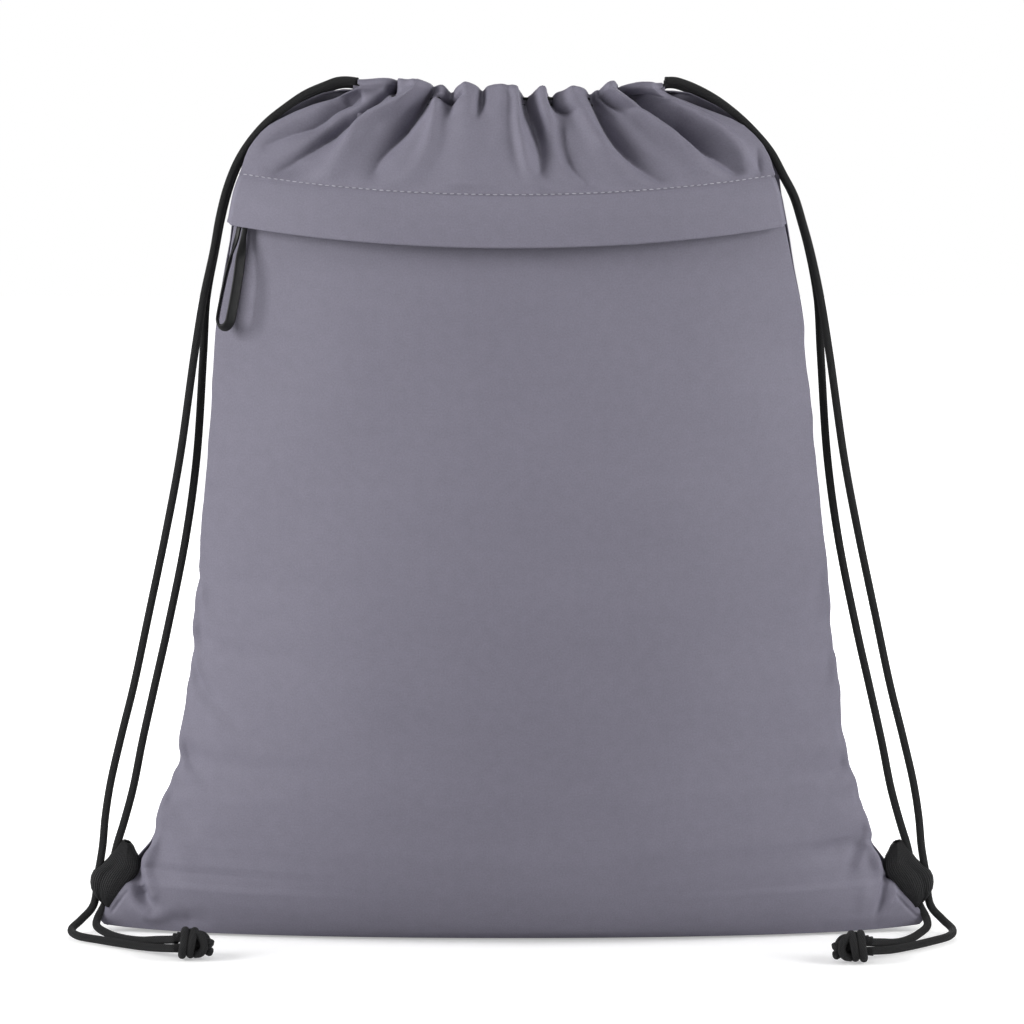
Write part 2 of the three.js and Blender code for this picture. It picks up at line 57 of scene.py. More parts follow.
# ------------------------------------------------------------------ camera
cam_data = bpy.data.cameras.new("camera")
cam_data.sensor_width = 36.0
cam_data.lens = 98.03
cam_data.clip_start, cam_data.clip_end = 0.05, 50.0
cam = bpy.data.objects.new("camera", cam_data)
ELEV = math.radians(6.0)
cam.location = (0.0, -1.45 * math.cos(ELEV), 0.2215 + 1.45 * math.sin(ELEV))
cam.rotation_euler = (Vector((0, 0, 0.2215)) - Vector(cam.location)).to_track_quat('-Z', 'Y').to_euler()
col.objects.link(cam)
bpy.context.scene.camera = cam

# ------------------------------------------------------------------ small maths
def smooth(t):
    t = np.clip(t, 0.0, 1.0)
    return t * t * (3 - 2 * t)
def lerp(a, b, t): return a + (b - a) * t
def tab(table, x):
    t = np.array(table, float)
    return np.interp(x, t[:, 0], t[:, 1])
def soft_tab(table, x, r=2.0):
    return (tab(table, x - r) + 2 * tab(table, x - r / 2) + 2 * tab(table, x) + 2 * tab(table, x + r / 2) + tab(table, x + r)) / 8.0
def catmull(pts, per_mm=1.4, least=3):
    """centripetal Catmull-Rom line through pts, as in the CAD's routes"""
    P = [np.array(p, float) for p in pts]
    P = [2 * P[0] - P[1]] + P + [2 * P[-1] - P[-2]]
    out = []
    for i in range(1, len(P) - 2):
        p0, p1, p2, p3 = P[i - 1:i + 3]
        d0, d1, d2 = (max(1e-4, np.linalg.norm(b - a)) ** 0.5 for a, b in ((p0, p1), (p1, p2), (p2, p3)))
        m1 = ((p1 - p0) / d0 - (p2 - p0) / (d0 + d1) + (p2 - p1) / d1) * d1
        m2 = ((p2 - p1) / d1 - (p3 - p1) / (d1 + d2) + (p3 - p2) / d2) * d1
        n = max(least, int(np.linalg.norm(p2 - p1) / per_mm))
        for k in range(n):
            t = k / n
            out.append(p1 * (2 * t ** 3 - 3 * t ** 2 + 1) + m1 * (t ** 3 - 2 * t ** 2 + t) + p2 * (-2 * t ** 3 + 3 * t ** 2) + m2 * (t ** 3 - t ** 2))
    out.append(P[-2])
    return np.array(out)
def resample(P, n):
    P = np.array(P, float)
    d = np.concatenate([[0], np.cumsum(np.linalg.norm(np.diff(P, axis=0), axis=1))])
    q = np.linspace(0, d[-1], n)
    return np.stack([np.interp(q, d, P[:, k]) for k in range(P.shape[1])], 1)

# ------------------------------------------------------------------ mesh making
def make(name, verts, faces, mat, uv=None, body="bag"):
    me = bpy.data.meshes.new(name)
    me.from_pydata((np.asarray(verts, float) * MM).tolist(), [], [tuple(int(i) for i in f) for f in faces])
    if uv is not None:
        layer = me.uv_layers.new(name="UVMap")
        idx = np.zeros(len(me.loops), np.int32)
        me.loops.foreach_get("vertex_index", idx)
        layer.data.foreach_set("uv", np.asarray(uv, np.float32)[idx].reshape(-1))
    me.update()
    me.shade_smooth()
    me.materials.append(mat)
    ob = bpy.data.objects.new(name, me)
    col.objects.link(ob)
    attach(ob, body)
    return ob
def grid_faces(nr, nc, wrap=False, base=0, flip=False):
    i = np.arange(nr - 1)[:, None]
    j = np.arange(nc if wrap else nc - 1)[None, :]
    a, b = i * nc + j, i * nc + (j + 1) % nc
    q = np.stack([a, b, b + nc, a + nc], -1).reshape(-1, 4) + base
    return q[:, ::-1] if flip else q
def sheet_mesh(name, P, mat, uv, thick=0.8, flip=False, offset=-1.0, body="bag"):
    nr, nc = P.shape[:2]
    ob = make(name, P.reshape(-1, 3), grid_faces(nr, nc, flip=flip), mat, uv.reshape(-1, 2), body)
    if thick:
        m = ob.modifiers.new("thickness", 'SOLIDIFY')
        m.thickness = thick * MM
        m.offset = offset
        m.use_even_offset = False
    return ob
def tube(P, r, sides=14, caps=True, base=0, twist=0.0, flat=1.0):
    """verts, faces and uvs (u round, v along in mm) of a tube through P; r is a number or one radius for each point"""
    P = np.asarray(P, float)
    n = len(P)
    r = np.full(n, r, float) if np.isscalar(r) else np.asarray(r, float)
    T = np.gradient(P, axis=0)
    T /= np.linalg.norm(T, axis=1)[:, None] + 1e-12
    up = np.array([0, 1.0, 0]) if abs(T[0][1]) < 0.9 else np.array([1.0, 0, 0])
    U = np.zeros_like(P)
    u = up - T[0] * up.dot(T[0]); u /= np.linalg.norm(u)
    for i in range(n):
        u = u - T[i] * u.dot(T[i]); u /= np.linalg.norm(u)
        U[i] = u
    V = np.cross(T, U)
    a = np.linspace(0, 2 * math.pi, sides, endpoint=False)
    ring = (np.cos(a)[None, :, None] * U[:, None, :] + flat * np.sin(a)[None, :, None] * V[:, None, :]) * r[:, None, None] + P[:, None, :]
    verts = ring.reshape(-1, 3)
    faces = grid_faces(n, sides, wrap=True, base=base).tolist()
    along = np.concatenate([[0], np.cumsum(np.linalg.norm(np.diff(P, axis=0), axis=1))])
    uv = np.stack(np.broadcast_arrays(np.abs(np.linspace(-1, 1, sides, endpoint=False))[None, :], along[:, None]), -1).reshape(-1, 2)
    if caps:
        faces.append([base + k for k in range(sides)][::-1])
        faces.append([base + (n - 1) * sides + k for k in range(sides)])
    return verts, faces, uv
def many(name, parts, mat, body="bag"):
    vs, fs, us, b = [], [], [], 0
    for v, f, u in parts:
        vs.append(v); us.append(u)
        fs += [[i + b for i in face] for face in f]
        b += len(v)
    return make(name, np.concatenate(vs), fs, mat, np.concatenate(us), body)

# ------------------------------------------------------------------ materials
class Nodes:
    def __init__(self, name):
        self.m = bpy.data.materials.new(name)
        self.m.use_nodes = True
        self.t = self.m.node_tree
        self.t.nodes.clear()
        self.out = self.t.nodes.new('ShaderNodeOutputMaterial')
        self.b = self.t.nodes.new('ShaderNodeBsdfPrincipled')
        self.t.links.new(self.b.outputs[0], self.out.inputs[0])
    def n(self, kind, **kw):
        nd = self.t.nodes.new('ShaderNode' + kind)
        for k, v in kw.items():
            if k in ('op', 'operation'): nd.operation = v
            elif hasattr(nd, k): setattr(nd, k, v)
        return nd
    def link(self, a, b): self.t.links.new(a, b)
    def math(self, op, a, b=None):
        nd = self.n('Math', op=op)
        for k, v in enumerate((a, b)):
            if v is None: continue
            if isinstance(v, (int, float)): nd.inputs[k].default_value = v
            else: self.link(v, nd.inputs[k])
        return nd.outputs[0]
    def noise(self, vec, scale, detail=2.0, rough=0.5):
        nd = self.n('TexNoise')
        nd.inputs['Scale'].default_value = scale
        nd.inputs['Detail'].default_value = detail
        nd.inputs['Roughness'].default_value = rough
        self.link(vec, nd.inputs['Vector'])
        return nd.outputs['Fac']
    def ramp(self, fac, stops):
        nd = self.n('ValToRGB')
        while len(nd.color_ramp.elements) < len(stops): nd.color_ramp.elements.new(0.5)
        for e, (p, c) in zip(nd.color_ramp.elements, stops):
            e.position = p
            e.color = (*c, 1) if len(c) == 3 else c
        self.link(fac, nd.inputs[0])
        return nd.outputs[0]
    def bump(self, height, dist, strength=1.0, normal=None):
        nd = self.n('Bump')
        nd.inputs['Distance'].default_value = dist
        nd.inputs['Strength'].default_value = strength
        self.link(height, nd.inputs['Height'])
        if normal is not None: self.link(normal, nd.inputs['Normal'])
        return nd.outputs[0]
    def set(self, **kw):
        for k, v in kw.items():
            s = self.b.inputs[k.replace('_', ' ')]
            s.default_value = (*v, 1) if isinstance(v, tuple) and len(v) == 3 and k in ('Base_Color', 'Sheen_Tint') else v

def fabric_material(name, colour, dark, rough, sheen, weave=0.75, bump=0.00009):
    """woven polyester: a fine twill of two thread directions, a speckle of lit threads, and a slow change of shade"""
    k = Nodes(name)
    uv = k.n('UVMap', uv_map="UVMap").outputs[0]
    tc = k.n('TexCoord').outputs['Object']
    sep = k.n('SeparateXYZ'); k.link(uv, sep.inputs[0])
    x, y = sep.outputs[0], sep.outputs[1]
    w = 2 * math.pi / weave
    warp = k.math('SINE', k.math('MULTIPLY', k.math('ADD', x, k.math('MULTIPLY', y, 0.5)), w))
    weft = k.math('SINE', k.math('MULTIPLY', k.math('SUBTRACT', y, k.math('MULTIPLY', x, 0.5)), w))
    cloth = k.math('MULTIPLY', warp, weft)
    speck = k.noise(uv, 1.15, 3.0, 0.65)
    slub = k.noise(uv, 0.16, 2.0, 0.5)
    slow = k.noise(tc, 9.0, 2.0, 0.5)
    mixv = k.math('ADD', k.math('ADD', k.math('MULTIPLY', cloth, 0.10), k.math('MULTIPLY', speck, 0.75)), k.math('ADD', k.math('MULTIPLY', slub, 0.25), k.math('MULTIPLY', slow, 0.35)))
    k.link(k.ramp(mixv, [(0.30, dark), (1.05, colour)]), k.b.inputs['Base Color'])
    k.link(k.ramp(speck, [(0.2, (rough + 0.1,) * 3), (0.8, (rough - 0.05,) * 3)]), k.b.inputs['Roughness'])
    h = k.math('ADD', k.math('MULTIPLY', cloth, 0.5), k.math('MULTIPLY', speck, 1.2))
    k.link(k.bump(h, bump, 0.7), k.b.inputs['Normal'])
    k.set(Sheen_Weight=sheen, Sheen_Roughness=0.35, Sheen_Tint=(0.86, 0.84, 1.0), Specular_IOR_Level=0.35)
    return k.m
def cord_material(name, lo, hi, turns, pitch, bump):
    """braided cord: plaits crossing both ways; u is round the cord, v along it"""
    k = Nodes(name)
    uv = k.n('UVMap', uv_map="UVMap").outputs[0]
    sep = k.n('SeparateXYZ'); k.link(uv, sep.inputs[0])
    u, v = sep.outputs[0], sep.outputs[1]
    a = k.math('MULTIPLY', u, 2 * math.pi * turns)
    b = k.math('MULTIPLY', v, 2 * math.pi / pitch)
    p = k.math('SINE', k.math('ADD', a, b))
    q = k.math('SINE', k.math('SUBTRACT', a, b))
    plait = k.math('ABSOLUTE', k.math('MULTIPLY', p, q))
    fib = k.noise(k.n('TexCoord').outputs['Object'], 1600.0, 2.0, 0.6)
    h = k.math('ADD', plait, k.math('MULTIPLY', fib, 0.35))
    k.link(k.ramp(h, [(0.05, lo), (1.0, hi)]), k.b.inputs['Base Color'])
    k.link(k.bump(h, bump, 0.9), k.b.inputs['Normal'])
    k.set(Roughness=0.8, Sheen_Weight=0.04, Sheen_Roughness=0.4, Specular_IOR_Level=0.2)
    return k.m
def ribbed_material(name, lo, hi, pitch, bump):
    """grosgrain webbing: close ribs across u with a weave in them"""
    k = Nodes(name)
    uv = k.n('UVMap', uv_map="UVMap").outputs[0]
    sep = k.n('SeparateXYZ'); k.link(uv, sep.inputs[0])
    rib = k.math('SINE', k.math('MULTIPLY', sep.outputs[0], 2 * math.pi / pitch))
    tick = k.math('SINE', k.math('MULTIPLY', sep.outputs[1], 2 * math.pi / 0.9))
    n = k.noise(uv, 1.4, 3.0, 0.6)
    h = k.math('ADD', k.math('ADD', rib, k.math('MULTIPLY', tick, 0.3)), k.math('MULTIPLY', n, 0.8))
    k.link(k.ramp(k.math('ADD', k.math('MULTIPLY', h, 0.3), 0.4), [(0.1, lo), (0.9, hi)]), k.b.inputs['Base Color'])
    k.link(k.bump(h, bump, 0.9), k.b.inputs['Normal'])
    k.set(Roughness=0.7, Sheen_Weight=0.03, Sheen_Roughness=0.4, Specular_IOR_Level=0.25)
    return k.m
def plain_material(name, lo, hi, rough, metallic=0.0, scale=300.0, bump=0.00003, spec=0.5):
    """moulded or cast surface: fine noise in its colour, gloss and height"""
    k = Nodes(name)
    tc = k.n('TexCoord').outputs['Object']
    n = k.noise(tc, scale, 4.0, 0.6)
    n2 = k.noise(tc, scale / 8, 2.0, 0.5)
    k.link(k.ramp(n2, [(0.25, lo), (0.8, hi)]), k.b.inputs['Base Color'])
    k.link(k.ramp(n, [(0.2, (max(0.05, rough - 0.08),) * 3), (0.8, (rough + 0.08,) * 3)]), k.b.inputs['Roughness'])
    k.link(k.bump(n, bump, 0.6), k.b.inputs['Normal'])
    k.set(Metallic=metallic, Specular_IOR_Level=spec)
    return k.m

M_SACK = fabric_material("sack_fabric", (0.208, 0.198, 0.250), (0.138, 0.131, 0.170), 0.68, 0.15)
M_LINING = fabric_material("lining_fabric", (0.060, 0.058, 0.068), (0.030, 0.029, 0.034), 0.7, 0.1, 0.6)
M_CORD = cord_material("cord_braid", (0.0030, 0.0030, 0.0034), (0.029, 0.029, 0.030), 4.0, 2.6, 0.00034)
M_WEB = ribbed_material("webbing", (0.0030, 0.0030, 0.0034), (0.026, 0.026, 0.028), 1.0, 0.00022)
M_TAPE = fabric_material("zip_tape", (0.022, 0.022, 0.024), (0.012, 0.012, 0.013), 0.75, 0.1, 0.9)
M_COIL = plain_material("zip_coil", (0.012, 0.012, 0.013), (0.026, 0.026, 0.028), 0.38)
M_RUBBER = plain_material("puller_rubber", (0.0045, 0.0047, 0.0050), (0.009, 0.0093, 0.0098), 0.50, 0.0, 900.0, 0.00002, 0.28)
M_METAL = plain_material("zip_metal", (0.055, 0.055, 0.060), (0.10, 0.10, 0.108), 0.34, 0.9, 500.0)
M_THREAD = plain_material("thread", (0.33, 0.32, 0.37), (0.46, 0.445, 0.50), 0.55, 0.0, 2000.0, 0.00002, 0.4)
M_THREAD_D = plain_material("seam_thread", (0.16, 0.155, 0.19), (0.22, 0.21, 0.26), 0.6, 0.0, 2000.0, 0.00002, 0.3)

# ------------------------------------------------------------------ cords first
CORD_D = 4.2
L_FRONT = [[-78.5, -6.0, 442.6], [-84, -5.4, 443.3], [-89, -5.0, 443.0], [-95, -4.4, 440.9], [-105.3, -3.0, 436.6], [-115.8, -1.4, 429.8], [-126.2, -0.4, 421.6], [-134.8, 0.0, 411.8], [-141.0, 0.2, 402], [-146.4, 0.6, 389], [-150.4, 0.6, 374], [-153.6, 0.6, 357],
  [-159.0, 0, 333], [-163.9, -1.4, 304], [-172.2, -1.2, 250], [-179.8, -0.6, 212], [-190, 0, 166], [-198, 0, 130], [-205, 0, 103], [-211, 0, 78], [-214.0, 0, 60], [-215.6, 0, 44.5], [-218.2, 0, 29.5],
  [-221.0, 0, 12.6], [-226.6, -4.5, 6.4], [-230.6, -12.5, 3.2], [-226.5, -22.5, 2.5], [-213, -32, 2.5], [-196, -42, 2.6], [-186, -48.2, 3.0], [-178, -53.4, 3.9], [-169.5, -59.0, 5.2]]
L_BACK = [[-78.5, 6.0, 441.0], [-84, 6.0, 442.0], [-89, 6.0, 441.6], [-95, 6.0, 439.6], [-105.3, 5.8, 435.4], [-115.8, 5.4, 428.8], [-126.2, 5.2, 420.6], [-134.8, 5.2, 411.0], [-141.0, 5.4, 401.2], [-146.2, 5.5, 388], [-150.2, 5.4, 373], [-153.4, 5.2, 357],
  [-158.0, 5.0, 333], [-160.0, 4.4, 304], [-164.0, 3.4, 250], [-170, 1.8, 208], [-180, 0.6, 160], [-187.5, 0, 128], [-194, 0, 100], [-199, 0, 76], [-204, 0, 58], [-208.2, 0, 44.5], [-211.4, 0, 29.5],
  [-214.5, 0, 14.5], [-218.0, -4.0, 7.4], [-217.6, -11.5, 4.6], [-211, -19, 2.6], [-201, -30, 2.8], [-190, -41.2, 4.6], [-181, -48.3, 6.8], [-170.0, -57.2, 9.3]]
def to_right(pts):
    top = [(78.0, 443.0), (83.0, 443.0), (87.5, 441.8), (94.7, 438.9), (104.2, 433.8), (114.9, 426.0), (124.6, 416.9), (132.8, 407.2), (139.2, 397.0), (145.2, 385.8), (149.4, 372.8)]
    out = []
    for k, (x, y, z) in enumerate(pts):
        if k < len(top):
            out.append([top[k][0], y, top[k][1] - (1.2 if y > 0 else 0.0)])
            continue
        t = float(smooth((k - 25) / 4))
        out.append([-x + 7.0 * t, y - 5 * t, z])
    return out
for side, nm, pts in (("left", "front", L_FRONT), ("left", "back", L_BACK), ("right", "front", to_right(L_FRONT)), ("right", "back", to_right(L_BACK))):
    P = catmull(pts, 1.6)
    v, f, u = tube(P, CORD_D / 2, 16)
    ob = make(f"{side}_cord_{nm}", v, f, M_CORD, u, "bag")
    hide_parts(f"{side}_cord_{nm}_strand")

# stopper knots: two cords together, wound into a doubled overhand knot, with short ends
def knot(name, x, y, sgn, node):
    """sgn +1: the cord comes in from -x and the ends point to +x"""
    r = 2.15
    def T(p): return [x + sgn * p[0], y + p[1], 8.0 + p[2]]
    parts = []
    rings = []
    for x0, ry, rz, ph in ((-5.3, 5.5, 6.1, 0.2), (-0.8, 5.3, 5.8, 0.9)):
        rings.append([T([x0 + 1.3 * math.sin(2 * math.pi * k / 40 + ph) + 1.2 * k / 40, ry * math.cos(2 * math.pi * k / 40 + 0.6), rz * math.sin(2 * math.pi * k / 40 + 0.6)]) for k in range(41)])
    lobe = [T(p) for p in ([-1.5, 0.5, 5.2], [1.8, -1.6, 5.2], [4.8, -3.2, 3.0], [6.0, -4.0, -0.6], [4.4, -4.0, -4.0], [1.0, -2.4, -5.2])]
    under = [T(p) for p in ([-8.4, 1.5, 3.2], [-4.0, 1.0, 2.6], [1.0, 1.6, 3.6], [4.6, 2.0, 3.2], [6.8, 1.0, 0.2], [4.0, 0.6, -2.6])]
    end1 = [T(p) for p in ([1.6, -0.2, 1.2], [5.0, -1.0, 1.2], [8.0, -2.2, 0.6], [10.4, -3.0, -0.6])]
    end2 = [T(p) for p in ([1.0, 1.2, -2.0], [4.6, 0.9, -3.4], [7.8, 0.0, -4.4], [9.8, -1.0, -4.8])]
    for pts, rr in [(g, r) for g in rings] + [(lobe, r), (under, r)]:
        parts.append(tube(catmull(pts, 0.9), rr, 14))
    for pts in (end1, end2):
        P = catmull(pts, 0.7)
        q = np.linspace(0, 1, len(P))
        rad = r * (1.0 + 0.14 * smooth((q - 0.6) / 0.25)) * np.sqrt(np.clip(1 - np.clip((q - 0.82) / 0.18, 0, 1) ** 2 * 0.95, 0.04, 1))
        parts.append(tube(P, rad, 14))
    # the two cords run in side by side
    for dy, dz in ((-1.4, -2.2), (1.2, 2.2)):
        P = catmull([T([-10.4, dy * 1.3, dz * 1.1]), T([-7, dy, dz]), T([0, dy * 0.6, dz * 0.4]), T([5, 0, 0])], 0.9)
        parts.append(tube(P, r, 14))
    zmin = min(p[0][:, 2].min() for p in parts)
    parts = [(p[0] - np.array([0, 0, zmin - 0.05]), p[1], p[2]) for p in parts]
    ob = many(name, parts, M_CORD, "bag")
    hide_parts(node)
    return ob
K_LEFT = knot("left_stopper_knot", -161.5, -59.5, +1, "left_knot")
K_RIGHT = knot("right_stopper_knot", 171.8, -66.0, -1, "right_knot")

# ------------------------------------------------------------------ webbing loops at the corners
# half-outline tables: z, outer x, inner x (distance from the middle plane)
LOOP_ROWS = [(47.2, 204.8, 200.6), (45.6, 206.6, 199.2), (43.0, 208.8, 198.2), (40.4, 210.8, 196.8), (37.2, 213.2, 195.8), (34.0, 216.6, 195.8), (31.0, 220.6, 196.8),
  (28.0, 222.0, 199.0), (24.8, 222.4, 201.6), (21.4, 222.0, 204.4), (18.0, 220.4, 207.2), (15.0, 218.0, 209.4), (12.8, 215.4, 211.2)]
def corner_loop(side):
    rows = resample(LOOP_ROWS, 46)
    NA = 72
    a = np.linspace(0, 2 * math.pi, NA, endpoint=False)
    V, UVs = [], []
    for i, (z, xo, xi) in enumerate(rows):
        t = i / (len(rows) - 1)
        c, h = (xo + xi) / 2, (xo - xi) / 2
        b = 3.0 + 2.1 * math.sin(math.pi * min(1, t * 1.05)) + 0.6 * t
        b = min(b, h + 1.4)
        cx, sy = np.cos(a), np.sin(a)
        x = c + h * np.sign(cx) * np.abs(cx) ** 0.8
        y = b * np.sign(sy) * np.abs(sy) ** 0.85
        # a soft crease down the face where the strap folds over the outer cord, and a raised line over the inner one
        q = (x - xi) / (xo - xi)
        dent = -0.9 * np.exp(-((q - (0.62 + 0.16 * t)) / 0.07) ** 2) * smooth(np.array((t - 0.15) / 0.3)) + 0.5 * np.exp(-((q - (0.40 + 0.1 * t)) / 0.12) ** 2)
        y = y + np.sign(sy) * dent * (np.abs(sy) > 0.3)
        zz = z + 1.6 * (q - 0.5) * (1 if i > 0 else 1)
        V.append(np.stack([side * x, y, zz + 0 * x], 1))
        UVs.append(np.stack([q * 19 + 0 * a, np.full(NA, t * 34.0)], 1))
    V = np.array(V)
    ob = make(f"webbing_loop_{'left' if side < 0 else 'right'}", V.reshape(-1, 3), grid_faces(len(rows), NA, wrap=True, flip=(side > 0)), M_WEB, np.array(UVs).reshape(-1, 2), "bag")
    m = ob.modifiers.new("thickness", 'SOLIDIFY'); m.thickness = 1.1 * MM; m.offset = -1
    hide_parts(f"corner_loop_{'left' if side < 0 else 'right'}")
    return ob
LOOP_L, LOOP_R = corner_loop(-1), corner_loop(1)

# ------------------------------------------------------------------ the zip's surface
SAG, LEAN = math.hypot(36, 12), math.atan2(12, 36)
R = (144 ** 2 + SAG ** 2) / (2 * SAG)
FWD = np.array([0, -math.cos(LEAN), -math.sin(LEAN)])
AX = np.array([0, -math.sin(LEAN), math.cos(LEAN)])
EX = np.array([1.0, 0, 0])
ARC_C = np.array([0, -36, 371.0]) - R * FWD
KAP = math.radians(25)
def zp(phi, n, v):
    phi, n, v = np.broadcast_arrays(np.asarray(phi, float), np.asarray(n, float), np.asarray(v, float))
    p = np.radians(phi)
    r = R + n * math.cos(KAP) - v * math.sin(KAP)
    h = n * math.sin(KAP) + v * math.cos(KAP)
    return ARC_C + EX * (r * np.sin(p))[..., None] + FWD * (r * np.cos(p))[..., None] + AX * h[..., None]
def zframe(phi):
    p = math.radians(phi)
    rad = EX * math.sin(p) + FWD * math.cos(p)
    t = EX * math.cos(p) - FWD * math.sin(p)
    return t, rad * math.cos(KAP) + AX * math.sin(KAP), -rad * math.sin(KAP) + AX * math.cos(KAP)
SPAN_L, SPAN_R = 28.45, 27.25
def top_phi(s, left=SPAN_L, right=SPAN_R):
    span = np.where(s < 0, left, right)
    return np.degrees(np.arcsin(np.clip(s * np.sin(np.radians(span)), -1, 1)))

# ------------------------------------------------------------------ outlines of the sack, half widths against height
EDGE_L = [[0, 213.8], [3, 216.6], [5.4, 217.6], [8.1, 216.5], [14.5, 212.7], [21.0, 208.4], [27.5, 204.6], [33.9, 200.3], [40.3, 195.2], [46.8, 189.6], [53.2, 186.8], [59.6, 186.2], [66.1, 184.3], [72.5, 182.4], [78.9, 178.4], [85.3, 176.2], [88.5, 174.3], [91.7, 173.3], [98.1, 174.2], [104.4, 173.6], [117.2, 171.3], [126.7, 169.5], [133.1, 168.4], [142.6, 166.8], [149.0, 165.2], [158.5, 166.1], [168.0, 165.5], [174.3, 164.6], [180.6, 163.2], [186.9, 161.6], [193.2, 162.0], [202.7, 161.6], [212.1, 160.8], [227.8, 159.3], [243.4, 157.8], [259.0, 156.6], [274.6, 155.1], [290.2, 154.2], [305.7, 153.0], [317.6, 152.1], [331.5, 150.1], [346.9, 147.4], [362.3, 144.6], [370.5, 143.6], [382.7, 141.9], [395.0, 139.2]]
EDGE_R = [[0, 213.8], [3, 216.6], [5.9, 217.3], [8.1, 216.5], [11.3, 212.7], [17.8, 207.4], [24.2, 203.0], [30.7, 199.8], [37.1, 196.5], [43.6, 191.7], [46.8, 189.0], [53.2, 188.4], [59.6, 186.2], [66.1, 183.5], [72.5, 181.3], [82.1, 179.1], [85.3, 177.0], [91.7, 175.3], [101.3, 173.6], [107.6, 171.6], [114.0, 171.4], [126.7, 170.7], [133.1, 169.7], [142.6, 168.9], [149.0, 167.3], [158.5, 165.6], [168.0, 165.2], [180.6, 164.8], [190.1, 163.8], [199.5, 162.5], [208.9, 161.0], [221.5, 160.0], [234.0, 158.6], [246.6, 157.3], [259.0, 155.7], [271.5, 154.7], [284.0, 153.2], [296.4, 151.5], [308.8, 150.4], [317.6, 150.3], [331.5, 148.1], [346.9, 145.1], [362.3, 142.5], [370.5, 141.0], [382.7, 138.6], [395.0, 136.0]]
INSET_L = [[0, 0], [25.5, 0], [29, 4.5], [33.9, 6.2], [38, 3.6], [43, 3.0], [48, 0.6], [52, 0], [500, 0]]
INSET_R = [[0, 0], [25.5, 0], [29, 3.8], [32.5, 4.2], [37, 3.6], [43, 3.0], [48, 0.8], [51, 0], [500, 0]]
DF = [[0, 19], [3, 25], [8, 31], [16, 38], [30, 44.5], [48, 49.5], [80, 53.5], [130, 56], [180, 56], [230, 53.5], [280, 47.5], [315, 42], [345, 38.5], [371, 35.5], [395, 33], [411, 28.5], [424, 22]]
DB = [[0, 26], [3, 31], [8, 36], [16, 41.5], [30, 46.5], [48, 50], [80, 53.5], [130, 56], [180, 56], [230, 53.5], [280, 48.5], [330, 42], [371, 37.5], [385, 35.5], [395, 33], [411, 28.5], [424, 22]]
def half_width(s, z, inset=False):
    wl, wr = soft_tab(EDGE_L, z, 1.6), soft_tab(EDGE_R, z, 1.6)
    if inset:
        wl, wr = wl - tab(INSET_L, z), wr - tab(INSET_R, z)
    return np.where(s < 0, wl, wr)
def crown(s): return 1 - np.abs(s) ** 2.15
def seam_half(z): return lerp(3.2, 2.2, smooth(z / 60))
def body(s, z, sign):
    D = soft_tab(DF if sign < 0 else DB, z, 5.0)
    e = seam_half(z)
    # each side of the width takes its own outline; x = s * w is 0 at the middle, so the switch there doesn't tear it
    w = half_width(s, z, sign < 0)
    x = s * w
    y = sign * (e + (D - e) * crown(s))
    return np.stack([x, y, z + 0 * x], -1)
NS = 300
u_ = np.linspace(-1, 1, NS)
S_COLS = np.sin(u_ * 1.25) / math.sin(1.25)

# ------------------------------------------------------------------ folds
def strokes_height(X, Z, strokes):
    """height of a set of fold strokes over points (X, Z). Each stroke: points, (amp start, mid, end), (width start, end), sharp"""
    H = np.zeros_like(X)
    for pts, amp, wid, sharp in strokes:
        P = resample(catmull([(p[0], p[1], 0) for p in pts], 3.0)[:, :2], 22)
        best = np.full(X.shape, 1e9)
        tt = np.zeros_like(X)
        for i in range(len(P) - 1):
            a, b = P[i], P[i + 1]
            d = b - a
            L2 = d.dot(d) + 1e-9
            t = np.clip(((X - a[0]) * d[0] + (Z - a[1]) * d[1]) / L2, 0, 1)
            dist = (X - a[0] - t * d[0]) ** 2 + (Z - a[1] - t * d[1]) ** 2
            m = dist < best
            best = np.where(m, dist, best)
            tt = np.where(m, (i + t) / (len(P) - 1), tt)
        A = np.interp(tt, [0, 0.5, 1.0], amp)
        w = np.interp(tt, [0, 1.0], wid)
        q = np.sqrt(best) / w
        if sharp == 2:          # a pinched valley: round shoulders, a narrow bottom
            H += A * (0.58 * np.exp(-q * q) + 0.62 * np.exp(-2.1 * q))
        else:
            H += A * (np.exp(-q) if sharp else np.exp(-q * q))
    return H
def push(P, H):
    """moves a grid out along its own normals by H"""
    a = np.gradient(P, axis=0)
    b = np.gradient(P, axis=1)
    n = np.cross(b, a)
    n /= np.linalg.norm(n, axis=-1)[..., None] + 1e-9
    return P + n * H[..., None]
def sheet_uv(P):
    """lengths along rows and columns, in mm"""
    du = np.linalg.norm(np.diff(P, axis=1), axis=-1)
    dv = np.linalg.norm(np.diff(P, axis=0), axis=-1)
    mid = P.shape[1] // 2
    u = np.concatenate([np.zeros((P.shape[0], 1)), np.cumsum(du, axis=1)], 1)
    u = u - u[:, mid:mid + 1]
    v = np.concatenate([[0], np.cumsum(dv[:, mid])])
    return np.stack(np.broadcast_arrays(u, v[:, None]), -1)
def rnd(seed, n):
    return np.random.RandomState(seed).rand(n)
def crumple(X, Z, seed, scale, amp, n=26):
    """a sum of slow waves in random directions: the unevenness of cloth that has been packed"""
    r = rnd(seed, n * 4).reshape(n, 4)
    H = np.zeros_like(X)
    for a, b, c, d in r:
        ang = a * math.pi
        k = 2 * math.pi / (scale * (0.55 + 1.2 * b))
        H += np.sin((X * math.cos(ang) + Z * math.sin(ang)) * k + c * 6.28) * (0.5 + d)
    return amp * H / math.sqrt(n)
